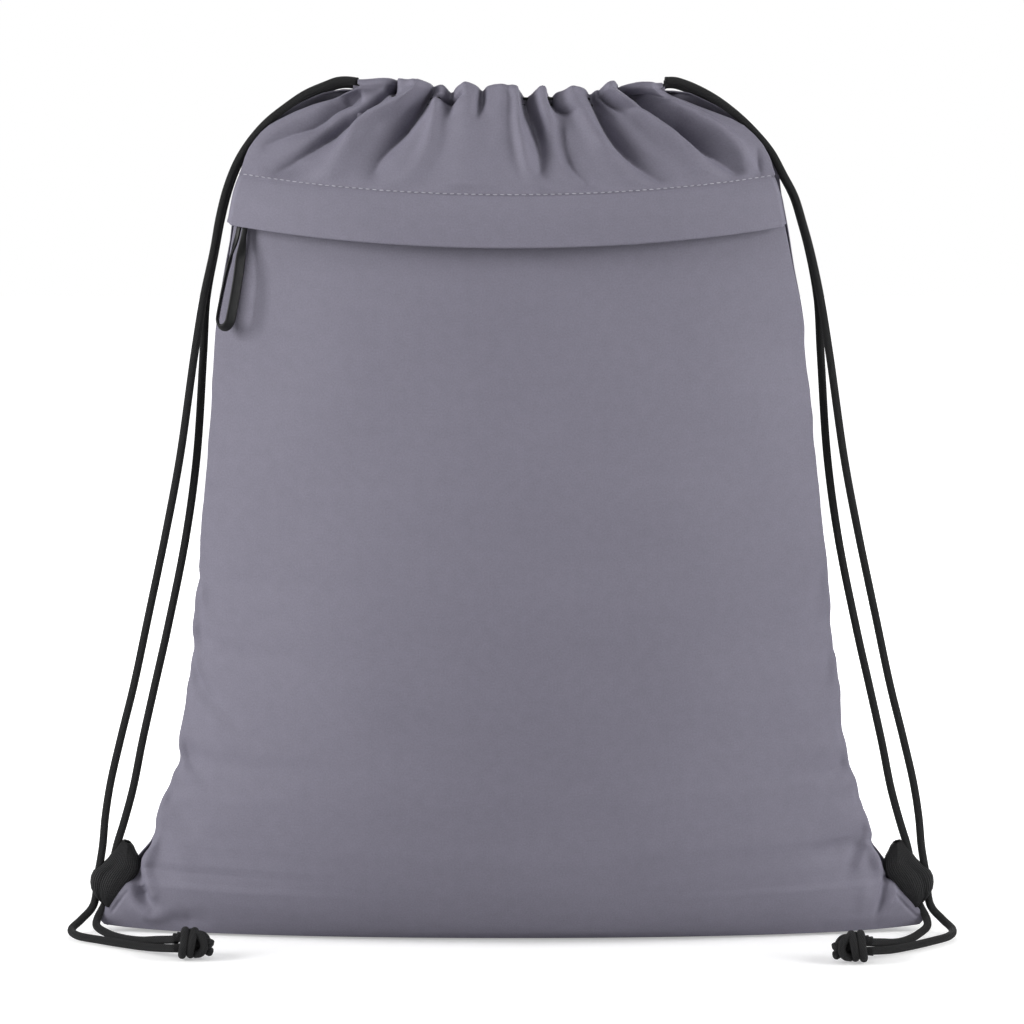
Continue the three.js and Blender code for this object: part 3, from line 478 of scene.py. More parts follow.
def wrap_cols(P, sign, tuck, edge=1.2):
    """adds two columns at each side that turn the cloth in to the seam; tuck is y at the seam for each row"""
    tuck = np.broadcast_to(tuck, (P.shape[0],))
    def side(p, d):
        q1 = p.copy(); q1[:, 0] += d * edge * 0.55; q1[:, 1] = lerp(p[:, 1], tuck, 0.42)
        q2 = p.copy(); q2[:, 0] += d * edge * 0.62; q2[:, 1] = lerp(p[:, 1], tuck, 0.75)
        q3 = p.copy(); q3[:, 0] += d * edge * 0.30; q3[:, 1] = tuck
        return q1, q2, q3
    l = side(P[:, 0], -1); r = side(P[:, -1], 1)
    return np.concatenate([np.stack(l[::-1], 1), P, np.stack(r, 1)], 1)

# ------------------------------------------------------------------ front panel
FRONT_STROKES = [
    # left corner: the panel's fold over the flattened corner, the hollow beside it and the ridge round its foot
    ([[-186.0, 60], [-187.6, 51.5], [-189.6, 42.9], [-192.0, 37.0], [-192.4, 32.2], [-191.0, 27.0], [-188.6, 21.0]], (0.6, 1.7, 1.0), (3.0, 3.6), False),
    ([[-197.2, 30.0], [-196.0, 25.5], [-194.2, 21.0], [-192.0, 17.0], [-189.8, 13.6]], (-1.5, -3.2, -0.8), (3.2, 3.6), False),
    ([[-202.5, 18.6], [-196.0, 13.0], [-190.3, 9.6], [-185.0, 9.6], [-180.5, 12.6]], (0.5, 1.9, 0.4), (3.4, 4.6), False),
    ([[-202.3, 21.2], [-206.2, 16.8], [-210.5, 10.8]], (-0.4, -0.5, -0.4), (0.9, 0.9), False),
    ([[-182.5, 8.0], [-172.0, 7.0], [-156.0, 8.0]], (-0.2, -1.2, -0.1), (4.5, 6.0), False),
    # left side: puckers that run in from the side seam
    ([[-164.6, 196], [-161.0, 180], [-158.5, 168], [-156.8, 158]], (0.9, 0.6, 0.0), (1.8, 3.4), False),
    ([[-167.5, 172], [-163.5, 160], [-160.0, 148]], (-0.7, -0.9, -0.1), (4.0, 6.0), False),
    ([[-167.6, 152.5], [-164.0, 143], [-160.6, 133], [-157.5, 124]], (1.3, 0.8, 0.0), (1.1, 2.4), True),
    ([[-171.0, 150.0], [-166.0, 138.0], [-158.0, 127.0], [-148.0, 116.0], [-138.0, 106.0]], (-0.3, -1.0, -0.2), (3.5, 7.0), False),
    ([[-170.0, 128.0], [-160.0, 121.0], [-148.0, 108.0], [-136.0, 95.0]], (0.5, 0.9, 0.1), (4.0, 8.0), False),
    ([[-176.0, 100.0], [-170.0, 96.0], [-162.0, 88.0]], (-1.0, -0.9, 0.0), (4.0, 7.0), False),
    ([[-174.5, 92.0], [-168.0, 84.0], [-160.0, 76.0]], (1.2, 0.7, 0.0), (1.6, 4.0), False),
    ([[-183.0, 74.0], [-172.0, 64.0], [-160.0, 56.0]], (-0.8, -0.8, 0.0), (4.0, 8.0), False),
    ([[-186.0, 60.0], [-176.0, 48.0], [-168.0, 34.0], [-160.0, 24.0]], (0.3, 1.0, 0.1), (4.0, 8.0), False),
    # right corner: facets under the loop
    ([[187.5, 50.0], [188.7, 43.4], [190.9, 38.6], [192.9, 34.0], [193.6, 29.0]], (0.6, 1.7, 0.6), (2.8, 3.0), False),
    ([[185.6, 45.6], [183.4, 39.4], [180.0, 31.8], [178.1, 24.9]], (1.0, 1.2, 0.2), (2.6, 4.6), False),
    ([[181.0, 44.0], [178.4, 36.0], [175.0, 28.0]], (-0.6, -1.0, -0.2), (3.8, 5.2), False),
    ([[196.6, 27.9], [195.0, 20.4], [192.6, 12.9], [190.5, 5.8]], (-1.4, -1.3, -0.3), (1.8, 2.2), False),
    ([[202.2, 24.3], [200.4, 18.9], [196.4, 12.4], [192.8, 7.4]], (0.8, 1.3, 0.4), (2.2, 2.8), False),
    ([[202.1, 19.1], [207.5, 13.6], [213.0, 8.1]], (-0.4, -0.5, -0.4), (0.9, 0.9), False),
    ([[186.4, 30.0], [184.8, 20.0], [183.0, 10.0]], (0.3, 0.9, 0.2), (3.6, 4.6), False),
    ([[187.5, 55.0], [178.0, 49.0], [166.0, 45.0], [150.0, 44.0]], (-0.9, -1.0, 0.0), (3.6, 7.0), False),
    ([[181.5, 74.0], [172.0, 66.0], [160.0, 60.0]], (0.8, 0.8, 0.0), (3.4, 7.0), False),
    ([[175.4, 94.0], [168.0, 86.0], [158.0, 80.0]], (-0.9, -0.8, 0.0), (3.4, 7.0), False),
    ([[172.0, 108.0], [164.0, 100.0], [152.0, 92.0]], (0.8, 0.6, 0.0), (3.0, 7.0), False),
    ([[168.0, 146.0], [161.0, 132.0], [150.0, 120.0]], (-0.7, -0.8, 0.0), (3.4, 7.0), False),
    ([[163.5, 190.0], [158.0, 176.0], [150.0, 164.0]], (-0.5, -0.6, 0.0), (3.4, 7.0), False),
    # the cloth's own slow waves across the middle of the panel
    ([[-110, 235], [-60, 205], [0, 190], [60, 196], [120, 222]], (0.0, -0.7, 0.0), (26, 26), False),
    ([[-130, 60], [-60, 40], [10, 34], [80, 40], [140, 60]], (-0.2, 0.7, -0.2), (16, 16), False),
    ([[-70, 340], [-64, 300], [-60, 250]], (-0.4, -0.5, 0.0), (13, 20), False),
    ([[58, 340], [62, 295], [66, 240]], (-0.4, -0.5, 0.0), (13, 20), False),
]
def base_rows(sign, s, n=9):
    """the flat base, from the bottom seam out to the front or back edge"""
    e = 3.2
    D0 = float(tab(DF if sign < 0 else DB, 0.0))
    rows = []
    w = half_width(s, np.zeros_like(s), False)
    for f in np.linspace(0.0, 0.94, n):
        y = sign * (0.3 + (e + (D0 - e) * crown(s) - 0.3) * f)
        rows.append(np.stack([s * (w - 1.2), y, np.full_like(s, 0.5)], -1))
    return np.array(rows)
def lift(s, z): return 2.6 * np.abs(s) ** 9 * (1 - smooth(z / 26.0))
z0 = np.concatenate([np.linspace(0.9, 60, 84)[:-1], np.linspace(60, 340, 170)])
P_TOP = top_phi(S_COLS, 28.45, 27.95)
e_top = zp(P_TOP, 1.1, -13.0)
rows = []
for z_ in z0:
    zt = e_top[:, 2]
    z = z_ + (zt - 360) * smooth((z_ - 240) / 110)
    p, q = body(S_COLS, z, -1), body(S_COLS, zt, -1)
    b = smooth((z - (zt - 62)) / 58)
    rows.append(np.stack([p[:, 0] + (e_top[:, 0] - q[:, 0]) * b, p[:, 1] + (e_top[:, 1] - q[:, 1]) * b, z + lift(S_COLS, z)], -1))
F = np.array(rows)
H = strokes_height(F[..., 0], F[..., 2], FRONT_STROKES) * lerp(1.75, 1.0, smooth((130 - np.abs(F[..., 0])) / 50))
edge_fade = 1 - smooth((np.abs(F[..., 0]) - (half_width(F[..., 0], F[..., 2]) - 4.0)) / 4.0) * 0.75
H = H * edge_fade + crumple(F[..., 0], F[..., 2], 11, 90, 0.42) + crumple(F[..., 0], F[..., 2], 12, 34, 0.10)
# puckers along the side seams
near = np.exp(-(np.abs(half_width(F[..., 0], F[..., 2]) - np.abs(F[..., 0])) / 9.0) ** 1.5)
H += near * 0.45 * np.sin(F[..., 2] / 4.1 + np.sin(F[..., 2] / 13.0) * 2.0 + np.where(F[..., 0] < 0, 0.0, 2.0)) * smooth((300 - F[..., 2]) / 120)
fade_top = 1 - smooth((F[..., 2] - (e_top[None, :, 2] - 26)) / 20)
H = H * fade_top * smooth((F[..., 2] - 0.5) / 8.0)
F = push(F, H)
top_rows = np.array([zp(lerp(P_TOP, top_phi(S_COLS, 28.3, 27.0), float(smooth((v + 12.6) / 3.0))), 1.1, v) for v in np.linspace(-12.0, -4, 9)])
base = base_rows(-1, S_COLS)
base[..., 2] += lift(S_COLS, 0.5)[None, :]
F = np.concatenate([base, F, top_rows], 0)
F = wrap_cols(F, -1, -0.45)
front = sheet_mesh("sack_front", F, M_SACK, sheet_uv(F), 0.8)
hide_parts("front_panel")

# ------------------------------------------------------------------ top of the sack: yoke, gathers and the drawcord hem
RIM = [[-86, 439.6], [-84.0, 440.4], [-78.0, 443.6], [-73.0, 444.8], [-68.4, 445.6], [-63, 445.4], [-58.3, 444.8], [-52.7, 443.1], [-47.6, 441.6], [-41.6, 442.1], [-35.0, 440.6], [-31.4, 438.6], [-23.3, 441.1], [-15.2, 439.6], [-9.1, 440.6], [-0.5, 439.6], [3.0, 437.6], [9.6, 437.1], [14.7, 438.6], [18.8, 436.0], [26.9, 437.6], [34.0, 439.1], [40.6, 438.1], [46.1, 439.6], [52.2, 442.8], [56.7, 444.0], [62.8, 443.2], [66.4, 443.6], [70.5, 442.6], [74.5, 440.2], [80, 437.4], [86, 435]]
EDGE_UP_L = [(139.0, 395.5), (137.1, 402.7), (134.4, 409.1), (131.1, 413.7), (127.8, 417.5), (123.9, 420.8), (119.3, 423.4), (110.1, 427.9), (101.0, 431.4), (90.5, 434.4), (82.0, 437.6), (77, 440.4)]
EDGE_UP_R = [(136.6, 395.5), (133.4, 399.5), (131.2, 405.3), (127.9, 411.1), (123.2, 416.3), (118.0, 420.8), (111.4, 424.3), (103.6, 427.2), (94.5, 430.5), (86.6, 433.6), (80.1, 435.9), (75.0, 438.6)]
YOKE_STROKES = [
    ([[-126.3, 411.2], [-112.1, 418.2], [-99.9, 423.4], [-88.8, 431.7], [-79.4, 435.4]], (-0.4, -1.3, -1.6), (4.5, 2.4), False),
    ([[-132.5, 394.1], [-114.2, 403.9], [-92.6, 419.7], [-79.4, 429.0], [-64.5, 437.2]], (0.5, 1.7, 2.0), (6.0, 2.6), False),
    ([[-120.0, 397.4], [-103.0, 409.7], [-86.9, 422.4], [-73.8, 431.0], [-61.5, 438.2]], (-1.0, -3.6, -3.4), (9.5, 3.4), False),
    ([[-99.1, 390.6], [-92.0, 396.7], [-83.3, 410.4], [-75.7, 423.2], [-64.1, 428.7], [-54.5, 433.7], [-47.9, 439.7]], (0.4, 2.4, 2.2), (7.0, 2.6), False),
    ([[-61.7, 437.7], [-58.9, 443.2]], (-1.2, -1.6, -1.6), (1.3, 1.3), False),
    ([[-69.8, 398.7], [-66.7, 405.8], [-55.3, 419.7], [-46.9, 429.9], [-41.3, 437.7], [-38.3, 440.7]], (-0.8, -2.8, -3.2), (8.0, 2.6), False),
    ([[-58.0, 428.2], [-51.4, 432.7], [-45.9, 437.2], [-39.3, 441.2]], (0.6, 1.4, 1.4), (3.0, 2.0), False),
    ([[-61.2, 391.6], [-48.0, 398.4], [-41.4, 410.4], [-39.1, 422.5], [-38.3, 432.7]], (0.3, 1.4, 1.5), (6.0, 3.0), False),
    ([[-37.5, 434.9], [-32.8, 433.0], [-25.4, 435.4]], (-0.9, -1.2, -0.8), (1.6, 1.6), False),
    ([[-32.5, 427.0], [-31.5, 434.0], [-31.2, 441.0]], (-0.4, -1.4, -2.0), (3.2, 2.0), False),
    ([[-17.5, 424.7], [-15.6, 432.7], [-15.1, 439.7]], (-0.5, -1.5, -1.8), (3.0, 1.8), False),
    ([[-22, 396], [-22.0, 412], [-22.5, 428], [-23.0, 438]], (0.8, 1.3, 1.2), (13.0, 4.0), False),
    ([[14.2, 396.7], [14.7, 407.7], [12.6, 418.7], [8.6, 428.7], [6.5, 437.7]], (-0.6, -2.4, -3.0), (6.4, 2.4), False),
    ([[24.8, 383.6], [16.7, 388.6], [9.6, 394.6], [5.4, 408.7], [3.0, 420.2], [2.2, 432.7], [0.4, 438.7]], (0.3, 1.6, 1.6), (4.0, 2.0), False),
    ([[-3.5, 400.0], [-6.0, 415.0], [-6.2, 428.0], [-4.5, 438.0]], (0.2, 0.8, 0.9), (8.0, 3.4), False),
    ([[20.6, 412], [18.7, 420.7], [16.6, 428.7], [14.2, 438.7]], (0.2, 1.4, 1.6), (4.0, 2.2), False),
    ([[18.7, 436.2], [21.2, 430.2], [25.7, 427.2], [33.3, 427.0]], (-1.6, -1.2, -0.3), (1.8, 2.2), False),
    ([[72.3, 389.6], [58.1, 397.7], [49.5, 404.2], [41.1, 415.4], [36.3, 423.9], [31.8, 431.2], [29.3, 437.7]], (0.4, 2.2, 1.8), (7.0, 3.0), False),
    ([[37.9, 391.6], [30.8, 400.2], [26.8, 410.2], [25.0, 418.0]], (-0.7, -1.4, -0.8), (8.0, 4.0), False),
    ([[74.8, 392.6], [63.2, 401.2], [50.5, 417.2], [43.9, 429.7], [39.3, 438.2]], (-0.7, -2.4, -3.0), (7.0, 2.4), False),
    ([[44.9, 436.2], [51.4, 430.6], [58.0, 428.2], [68.6, 427.7]], (-1.4, -1.0, -0.2), (1.9, 2.6), False),
    ([[112.8, 391.6], [99.1, 398.7], [87.4, 408.9], [76.1, 417.2], [64.6, 426.2], [54.0, 434.2], [46.7, 439.4]], (0.5, 2.6, 2.2), (7.5, 2.6), False),
    ([[113.3, 399.2], [101.0, 408.8], [91.4, 416.4], [77.2, 425.7], [64.5, 433.7], [57.0, 439.7]], (-1.0, -3.8, -3.2), (7.5, 2.6), False),
    ([[119.4, 391.6], [119.8, 398.7], [116.2, 407.7], [107.1, 416.7], [94.9, 423.7], [80.7, 431.7], [70.7, 437.7]], (0.3, 1.8, 1.6), (3.6, 3.4), False),
    ([[53.4, 440.7], [64.8, 436.7], [79.0, 434.7]], (-1.6, -1.3, -0.4), (1.7, 1.9), False),
    ([[125.8, 407.7], [126.9, 395.2]], (-0.4, -0.7, -0.3), (2.6, 2.6), False),
]
STITCH_V = 13.4
YOKE_N = 6.2         # how far the yoke's lower edge stands off the tape
HEM_R = 3.4
OUTER = {}
def outer_y(sign, x, z):
    """where the outer face of the hem stands at (x, z)"""
    og = OUTER[sign]
    y = np.zeros(len(x))
    for i in range(len(x)):
        y[i] = og[np.argmin((og[:, 0] - x[i]) ** 2 + (og[:, 2] - z[i]) ** 2), 1]
    return y
def hem_y(x): return 5 + 13 * (1 - np.clip((x / 84.0) ** 2, 0, 1))
def upper(sign, s, zb, yb, xb, EL, ER, crest, strokes, NF=104):
    """rows from the stitch line up over the crest and down inside the hem"""
    f = np.concatenate([np.linspace(0, 0.12, 14)[:-1], np.linspace(0.12, 1.0, NF - 13)])
    rl, rr = resample(EL, 60), resample(ER, 60)
    q = np.linspace(0, 1, 60)
    X = np.zeros((len(f), len(s))); Y = np.zeros_like(X); Z = np.zeros_like(X)
    for k, ff in enumerate(f):
        ex_ = np.where(s < 0, np.interp(ff, q, rl[:, 0]), np.interp(ff, q, rr[:, 0]))
        ez_ = np.where(s < 0, np.interp(ff, q, rl[:, 1]), np.interp(ff, q, rr[:, 1]))
        x = s * ex_
        x = lerp(x, xb, (1 - smooth(ff / 0.10)))
        top = crest(x / ex_ * np.where(s < 0, rl[-1, 0], rr[-1, 0])) - HEM_R
        w = np.abs(s) ** 3.4
        z = (1 - w) * (zb + (top - zb) * ff) + w * lerp(zb, ez_, smooth(ff / 0.12))
        yt = sign * (HEM_R + hem_y(x))
        g = ff ** 1.15
        y = lerp(yb, yt, g)
        # the cloth falls back to the side seam along the shoulder
        fall = 1 - 0.55 * np.abs(s) ** 8 * smooth(ff / 0.15) * (1 - smooth((ff - 0.80) / 0.16))
        Y[k] = y * fall; X[k] = x; Z[k] = z
    P = np.stack([X, Y, Z], -1)
    H = strokes_height(X, Z, [(p_, a_, w_, 2) if sum(a_) < 0 else (p_, a_, w_, False) for p_, a_, w_, k_ in [(p_, (a_[0] * 1.7, a_[1] * 1.35, a_[2] * 1.05) if sum(a_) < 0 else (a_[0] * 1.2, a_[1] * 1.15, a_[2]), w_, k_) for p_, a_, w_, k_ in strokes]])
    H *= 2.45 * smooth(f / 0.10)[:, None]
    side = 1 - smooth((np.abs(s) - 0.93) / 0.07) * 0.8
    H *= side[None, :]
    H += (crumple(X, Z, 21 if sign < 0 else 22, 30, 0.16) * smooth(f / 0.2)[:, None]) * side[None, :]
    out = push(P, H * (1.0 if sign < 0 else -1.0))
    h1 = H[-1]
    # crest and inside of the hem
    xm, zc = X[-1], Z[-1]
    dx = (out[-1] - P[-1])
    rows = []
    for a in np.linspace(0, math.pi, 11)[1:]:
        rows.append(np.stack([xm + dx[:, 0], sign * hem_y(xm) + sign * HEM_R * math.cos(a) + dx[:, 1], zc + dx[:, 2] + HEM_R * math.sin(a)], -1))
    OUTER[sign] = out[-86:].reshape(-1, 3).copy()
    for k in range(1, 10):
        t = k / 8
        xk, zk = xm + dx[:, 0], zc + dx[:, 2] - 17.0 * min(t, 1.1)
        yo = outer_y(sign, xk, zk)
        yo = np.convolve(np.pad(yo, 2, mode='edge'), [0.1, 0.2, 0.4, 0.2, 0.1], 'valid')
        y0 = sign * hem_y(xm) + sign * HEM_R + dx[:, 1]
        rows.append(np.stack([xk, lerp(y0, yo, min(1.0, t * 2.0)) - sign * (2 * HEM_R if k < 9 else 4.6), zk], -1))
    tuck_o = sign * lerp(0.35, 4.2, smooth((f - 0.84) / 0.1))
    A = wrap_cols(out, sign, tuck_o, 1.0)
    B = np.array(rows)
    def widen(B):
        l = [B[:, 0] + np.array([-k * 0.5, 0, 0]) for k in (3, 2, 1)]
        r = [B[:, -1] + np.array([k * 0.5, 0, 0]) for k in (1, 2, 3)]
        return np.concatenate([np.stack(l, 1), B, np.stack(r, 1)], 1)
    return np.concatenate([A, widen(B)], 0)
low = zp(top_phi(S_COLS), YOKE_N, STITCH_V)
Y_ = upper(-1, S_COLS, low[:, 2], low[:, 1], low[:, 0], EDGE_UP_L, EDGE_UP_R, lambda x: tab(RIM, x), YOKE_STROKES)
yoke = sheet_mesh("sack_yoke", Y_, M_SACK, sheet_uv(Y_) + np.array([3.3, 7.7]), 0.7)
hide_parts("front_yoke", "hem_channel_front")

# ------------------------------------------------------------------ back panel, one piece from the base to the hem
BACK_UP = [(139.0, 397.0), (137.0, 403.7), (134.4, 410.1), (131.1, 415.0), (127.8, 418.9), (123.9, 422.6), (119.3, 425.6), (110.9, 431.0), (103.0, 434.6), (96.2, 437.4), (88.4, 439.0), (80.0, 439.4)]
BACK_UP_R = [(136.6, 396.5), (134.0, 401.5), (131.6, 407.3), (128.3, 413.1), (123.8, 418.3), (118.4, 422.8), (110.7, 427.2), (104.0, 431.0), (96.3, 434.8), (89.7, 437.6), (83, 438.6), (77.0, 438.8)]
back_strokes = []
rr_ = rnd(77, 80)
for i in range(13):
    x1 = -75 + 150 * (i + 0.5) / 13 + (rr_[i] - 0.5) * 5
    x0 = x1 * (1.45 + 0.2 * rr_[20 + i])
    z_low = 392 + 16 * rr_[40 + i]
    sgn = -1 if i % 2 else 0.75
    a = (1.6 + 1.6 * rr_[60 + i]) * sgn
    back_strokes.append(([[x0, z_low], [lerp(x0, x1, 0.45), lerp(z_low, 440, 0.45)], [x1 * 1.02, 430], [x1, 441]], (a * 0.25, a * 0.9, a), (8.5, 2.8), False))
zrows = np.concatenate([np.linspace(0.9, 60, 50)[:-1], np.linspace(60, 383, 120)])
Bk = []
for z_ in zrows:
    z = np.full_like(S_COLS, z_)
    p = body(S_COLS, z, 1)
    p[:, 2] += lift(S_COLS, z)
    Bk.append(p)
Bk = np.array(Bk)
HB = crumple(Bk[..., 0], Bk[..., 2], 31, 80, 0.55) + crumple(Bk[..., 0], Bk[..., 2], 32, 30, 0.12)
nearb = np.exp(-(np.abs(half_width(Bk[..., 0], Bk[..., 2]) - np.abs(Bk[..., 0])) / 10.0) ** 1.5)
HB += nearb * 0.5 * np.sin(Bk[..., 2] / 4.6 + np.sin(Bk[..., 2] / 11.0) * 2.0) * smooth((330 - Bk[..., 2]) / 120)
HB = HB * smooth((Bk[..., 2] - 0.5) / 10.0) * (1 - smooth((Bk[..., 2] - 360) / 20))
Bk = push(Bk, -HB)
zb = np.full_like(S_COLS, 385.5)
pb = body(S_COLS, zb, 1)
Bu = upper(1, S_COLS, zb, pb[:, 1], pb[:, 0], [(140.8, 385.5)] + BACK_UP, [(138.2, 385.5)] + BACK_UP_R, lambda x: tab(RIM, x) - 3.5, back_strokes)
base = base_rows(1, S_COLS)
base[..., 2] += lift(S_COLS, 0.5)[None, :]
Bl = wrap_cols(np.concatenate([base, Bk], 0), 1, 0.45)
Ball = np.concatenate([Bl, Bu], 0)
back = sheet_mesh("sack_back", Ball, M_SACK, sheet_uv(Ball) + np.array([5.1, 2.3]), 0.8, flip=True)
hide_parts("back_panel", "hem_channel_back")

# ------------------------------------------------------------------ the flap over the zip
FLAP = [(STITCH_V + 0.2, YOKE_N - 0.15), (12.4, 6.15), (11.4, 6.75), (9.6, 7.4), (7.2, 8.1), (4.0, 8.75), (1.0, 9.0), (-3, 9.0), (-7, 8.8), (-11, 8.6), (-12.6, 8.55), (-13.35, 8.3), (-13.5, 7.9), (-13.1, 7.5), (-12.0, 7.5), (-9, 7.75), (-5, 7.95), (-1, 7.95), (2.5, 7.6), (6, 6.7), (9, 5.8), (11.6, 5.0)]
prof = catmull([(v, n, 0) for v, n in FLAP], 0.5)[:, :2]
fs = np.linspace(-1, 1, 260)
fs = np.sin(fs * 1.3) / math.sin(1.3)
G = []
for v, n in prof:
    phi = top_phi(fs)
    wav = 0.25 * np.sin(fs * 9.0 + 0.6) * smooth((fs + 0.82) / 0.3) * smooth((6 - v) / 14) + 0.12 * np.sin(fs * 23 + 1.0) * smooth((fs + 0.82) / 0.3) * smooth((8 - v) / 10)
    outer = 1.0 if n > 7.9 or v > 7 else 0.6
    p = zp(phi, n + wav * outer, v)
    # the two ends turn in towards the side seams
    t = smooth((np.abs(fs) - 0.985) / 0.015)
    p[:, 1] = p[:, 1] + 1.8 * t
    p[:, 2] = p[:, 2] + 1.2 * t * smooth((-9 - v) / 4)
    G.append(p)
G = np.array(G)
G = wrap_cols(G, -1, -1.2, 0.9)
flap = sheet_mesh("flap_band", G, M_SACK, sheet_uv(G) + np.array([1.7, 91.3]), 0, flip=True)
m = flap.modifiers.new("thickness", 'SOLIDIFY'); m.thickness = 0.5 * MM; m.offset = -1
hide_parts("zip_flap")

# stitching
def dash(p, q, r, lead=0.25):
    P = np.array([lerp(p, q, t) for t in (0, 0.12, 0.3, 0.5, 0.7, 0.88, 1)])
    return tube(P, r * np.array([0.35, 0.8, 1, 1.08, 1, 0.8, 0.35]), 8)
parts = []
phi, ph_end = -28.0, 26.7
step = math.degrees(3.6 / R)
k = 0
jr = rnd(5, 400)
while phi < ph_end:
    n = YOKE_N + 0.14
    jit = (jr[k] - 0.5) * 0.25
    a = zp(phi, n, STITCH_V + 0.05 + jit); b = zp(phi + step * 0.62, n, STITCH_V + 0.05 - jit * 0.5)
    parts.append(dash(a, b, 0.235))
    phi += step
    k += 1
st = many("flap_stitches", parts, M_THREAD, "bag")

# ------------------------------------------------------------------ pocket lining
rows = []
Ls = np.sin(np.linspace(-1, 1, 120) * 1.25) / math.sin(1.25) * 0.962
lowl = zp(np.degrees(np.arcsin(Ls / 0.962 * math.sin(math.radians(27.4)))), -1.7, 11.5)
for f in np.linspace(0, 1, 70):
    z = lerp(lowl[:, 2], 120, f)
    p = body(Ls, z, -1)
    deep = 4.2 + 9 * math.sin(math.pi * f) * crown(Ls / 0.962) + 3 * float(smooth(np.array(f / 0.2)))
    y = lerp(lowl[:, 1], np.minimum(-1.6, p[:, 1] + deep), float(smooth(np.array(f / 0.14))))
    x = lerp(lowl[:, 0], p[:, 0] * 0.985, float(smooth(np.array(f / 0.3))))
    rows.append(np.stack([x, np.minimum(-1.6, y), z], -1))
Lg = np.array(rows)
HL = crumple(Lg[..., 0], Lg[..., 2], 41, 45, 0.5) * smooth(np.linspace(0, 1, 70) / 0.2)[:, None]
Lg[..., 1] = np.minimum(-1.2, Lg[..., 1] + np.abs(HL))
lin_ = sheet_mesh("pocket_bag_lining", Lg, M_LINING, sheet_uv(Lg), 0.4, flip=True)
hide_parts("pocket_lining")

# ------------------------------------------------------------------ cords inside the hem
for side, sg, node in (("left", -1, "left_cord_in_hem"), ("right", 1, "right_cord_in_hem")):
    zc = 433.6 if side == "left" else 430.4
    pts = []
    for kx in np.linspace(79.5, -75.5, 11):
        pts.append([sg * kx, -hem_y(kx), zc + (8.2 if side == "left" else 11.6) * float(smooth(np.array((kx - 58) / 20)))])
    pts += [[-sg * 78.6, -2.9, zc], [-sg * 79.4, 0, zc], [-sg * 78.6, 2.9, zc]]
    for kx in np.linspace(-75.5, 79.5, 11):
        pts.append([sg * kx, hem_y(kx), zc + (6.8 if side == "left" else 10.2) * float(smooth(np.array((kx - 58) / 20)))])
    P = catmull(pts, 1.8)
    P = resample(P, 420)
    Q = P.copy()
    for sg_ in (-1, 1):
        y = outer_y(sg_, P[:, 0], P[:, 2]) - sg_ * HEM_R
        w = smooth((P[:, 1] * sg_ - 3.0) / 2.5) * (1 - smooth((np.abs(P[:, 0]) - 76) / 4))
        Q[:, 1] = np.where(P[:, 1] * sg_ > 3.0, lerp(P[:, 1], y, w), Q[:, 1])
    Q[1:-1] = (Q[:-2] + 2 * Q[1:-1] + Q[2:]) / 4
    v, f, u = tube(Q, 0.8, 10)
    ob = make(f"{side}_cord_hem_run", v, f, M_CORD, u, "bag")
    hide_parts(node)

# ------------------------------------------------------------------ puller: a rubber strap folded into a loop, turned a little
SL = -27.1
t_, n_, v_ = zframe(SL)
O = zp(SL, 5.05, -5.5)
def strap_loop():
    pts = []
    top_r, low_r, B = 2.75, 4.9, -55.3
    for k in range(13):
        a = math.pi * k / 12
        pts.append((top_r * math.cos(a), top_r * math.sin(a)))
    for y in (-6, -14, -24, -34, -42, -50):
        w = float(np.interp(-y, [0, 6, 14, 24, 34, 44], [2.75, 1.7, 1.9, 3.6, 4.6, 5.0]))
        pts.append((-w, y))
    for k in range(15):
        a = math.pi + math.pi * k / 14
        pts.append((low_r * math.cos(a), B + low_r * math.sin(a)))
    for y in (-50, -42, -34, -24, -14, -6):
        w = float(np.interp(-y, [0, 6, 14, 24, 34, 44], [2.75, 1.7, 1.9, 3.6, 4.6, 5.0]))
        pts.append((w, y))
    P = np.array(pts + [pts[0]])
    P = resample(P, 151)[:-1]
    # smooth the closed line
    for _ in range(3): P = (np.roll(P, 1, 0) + 2 * P + np.roll(P, -1, 0)) / 4
    T = np.roll(P, -1, 0) - np.roll(P, 1, 0)
    T /= np.linalg.norm(T, axis=1)[:, None]
    Nn = np.stack([T[:, 1], -T[:, 0]], 1)
    Nn = -Nn if (Nn * (P - P.mean(0))).sum() < 0 else Nn
    sec = []
    for k in range(16):
        a = 2 * math.pi * k / 16
        sec.append((math.copysign(abs(math.cos(a)) ** 0.55, math.cos(a)), math.copysign(abs(math.sin(a)) ** 0.55, math.sin(a))))
    V = []
    for (x, y), (nx, ny) in zip(P, Nn):
        open_ = float(smooth(np.array((-y - 11) / 15)))
        flat_ = float(smooth(np.array((-y - 0.5) / 6)))
        th = lerp(0.60, 0.78, open_)          # half thickness of the strap
        wd = lerp(lerp(0.92, 1.42, flat_), 2.7, open_)           # half width
        ang = math.radians(16) * open_        # the loop turns about its own length
        # the strap is twisted: one limb shows its face, the other its edge
        tw = math.radians(lerp(76 * flat_, lerp(38, 18, float(smooth(np.array((x + 5.0) / 10.0)))), open_))
        ca, sa = math.cos(ang), math.sin(ang)
        ct, st_ = math.cos(tw), math.sin(tw)
        for a, b in sec:
            e_, g_ = th * a * ct - wd * b * st_, th * a * st_ + wd * b * ct
            X, Y_, D = x + nx * e_, y + ny * e_, g_
            xt, dn = X * ca - D * sa, X * sa + D * ca
            dn += 0.55 * open_
            V.append(O + t_ * xt + v_ * Y_ + n_ * dn)
    V = np.array(V)
    m = len(P)
    f = []
    for i in range(m):
        for k in range(16):
            f.append((i * 16 + k, i * 16 + (k + 1) % 16, ((i + 1) % m) * 16 + (k + 1) % 16, ((i + 1) % m) * 16 + k))
    return V, f
V, f = strap_loop()
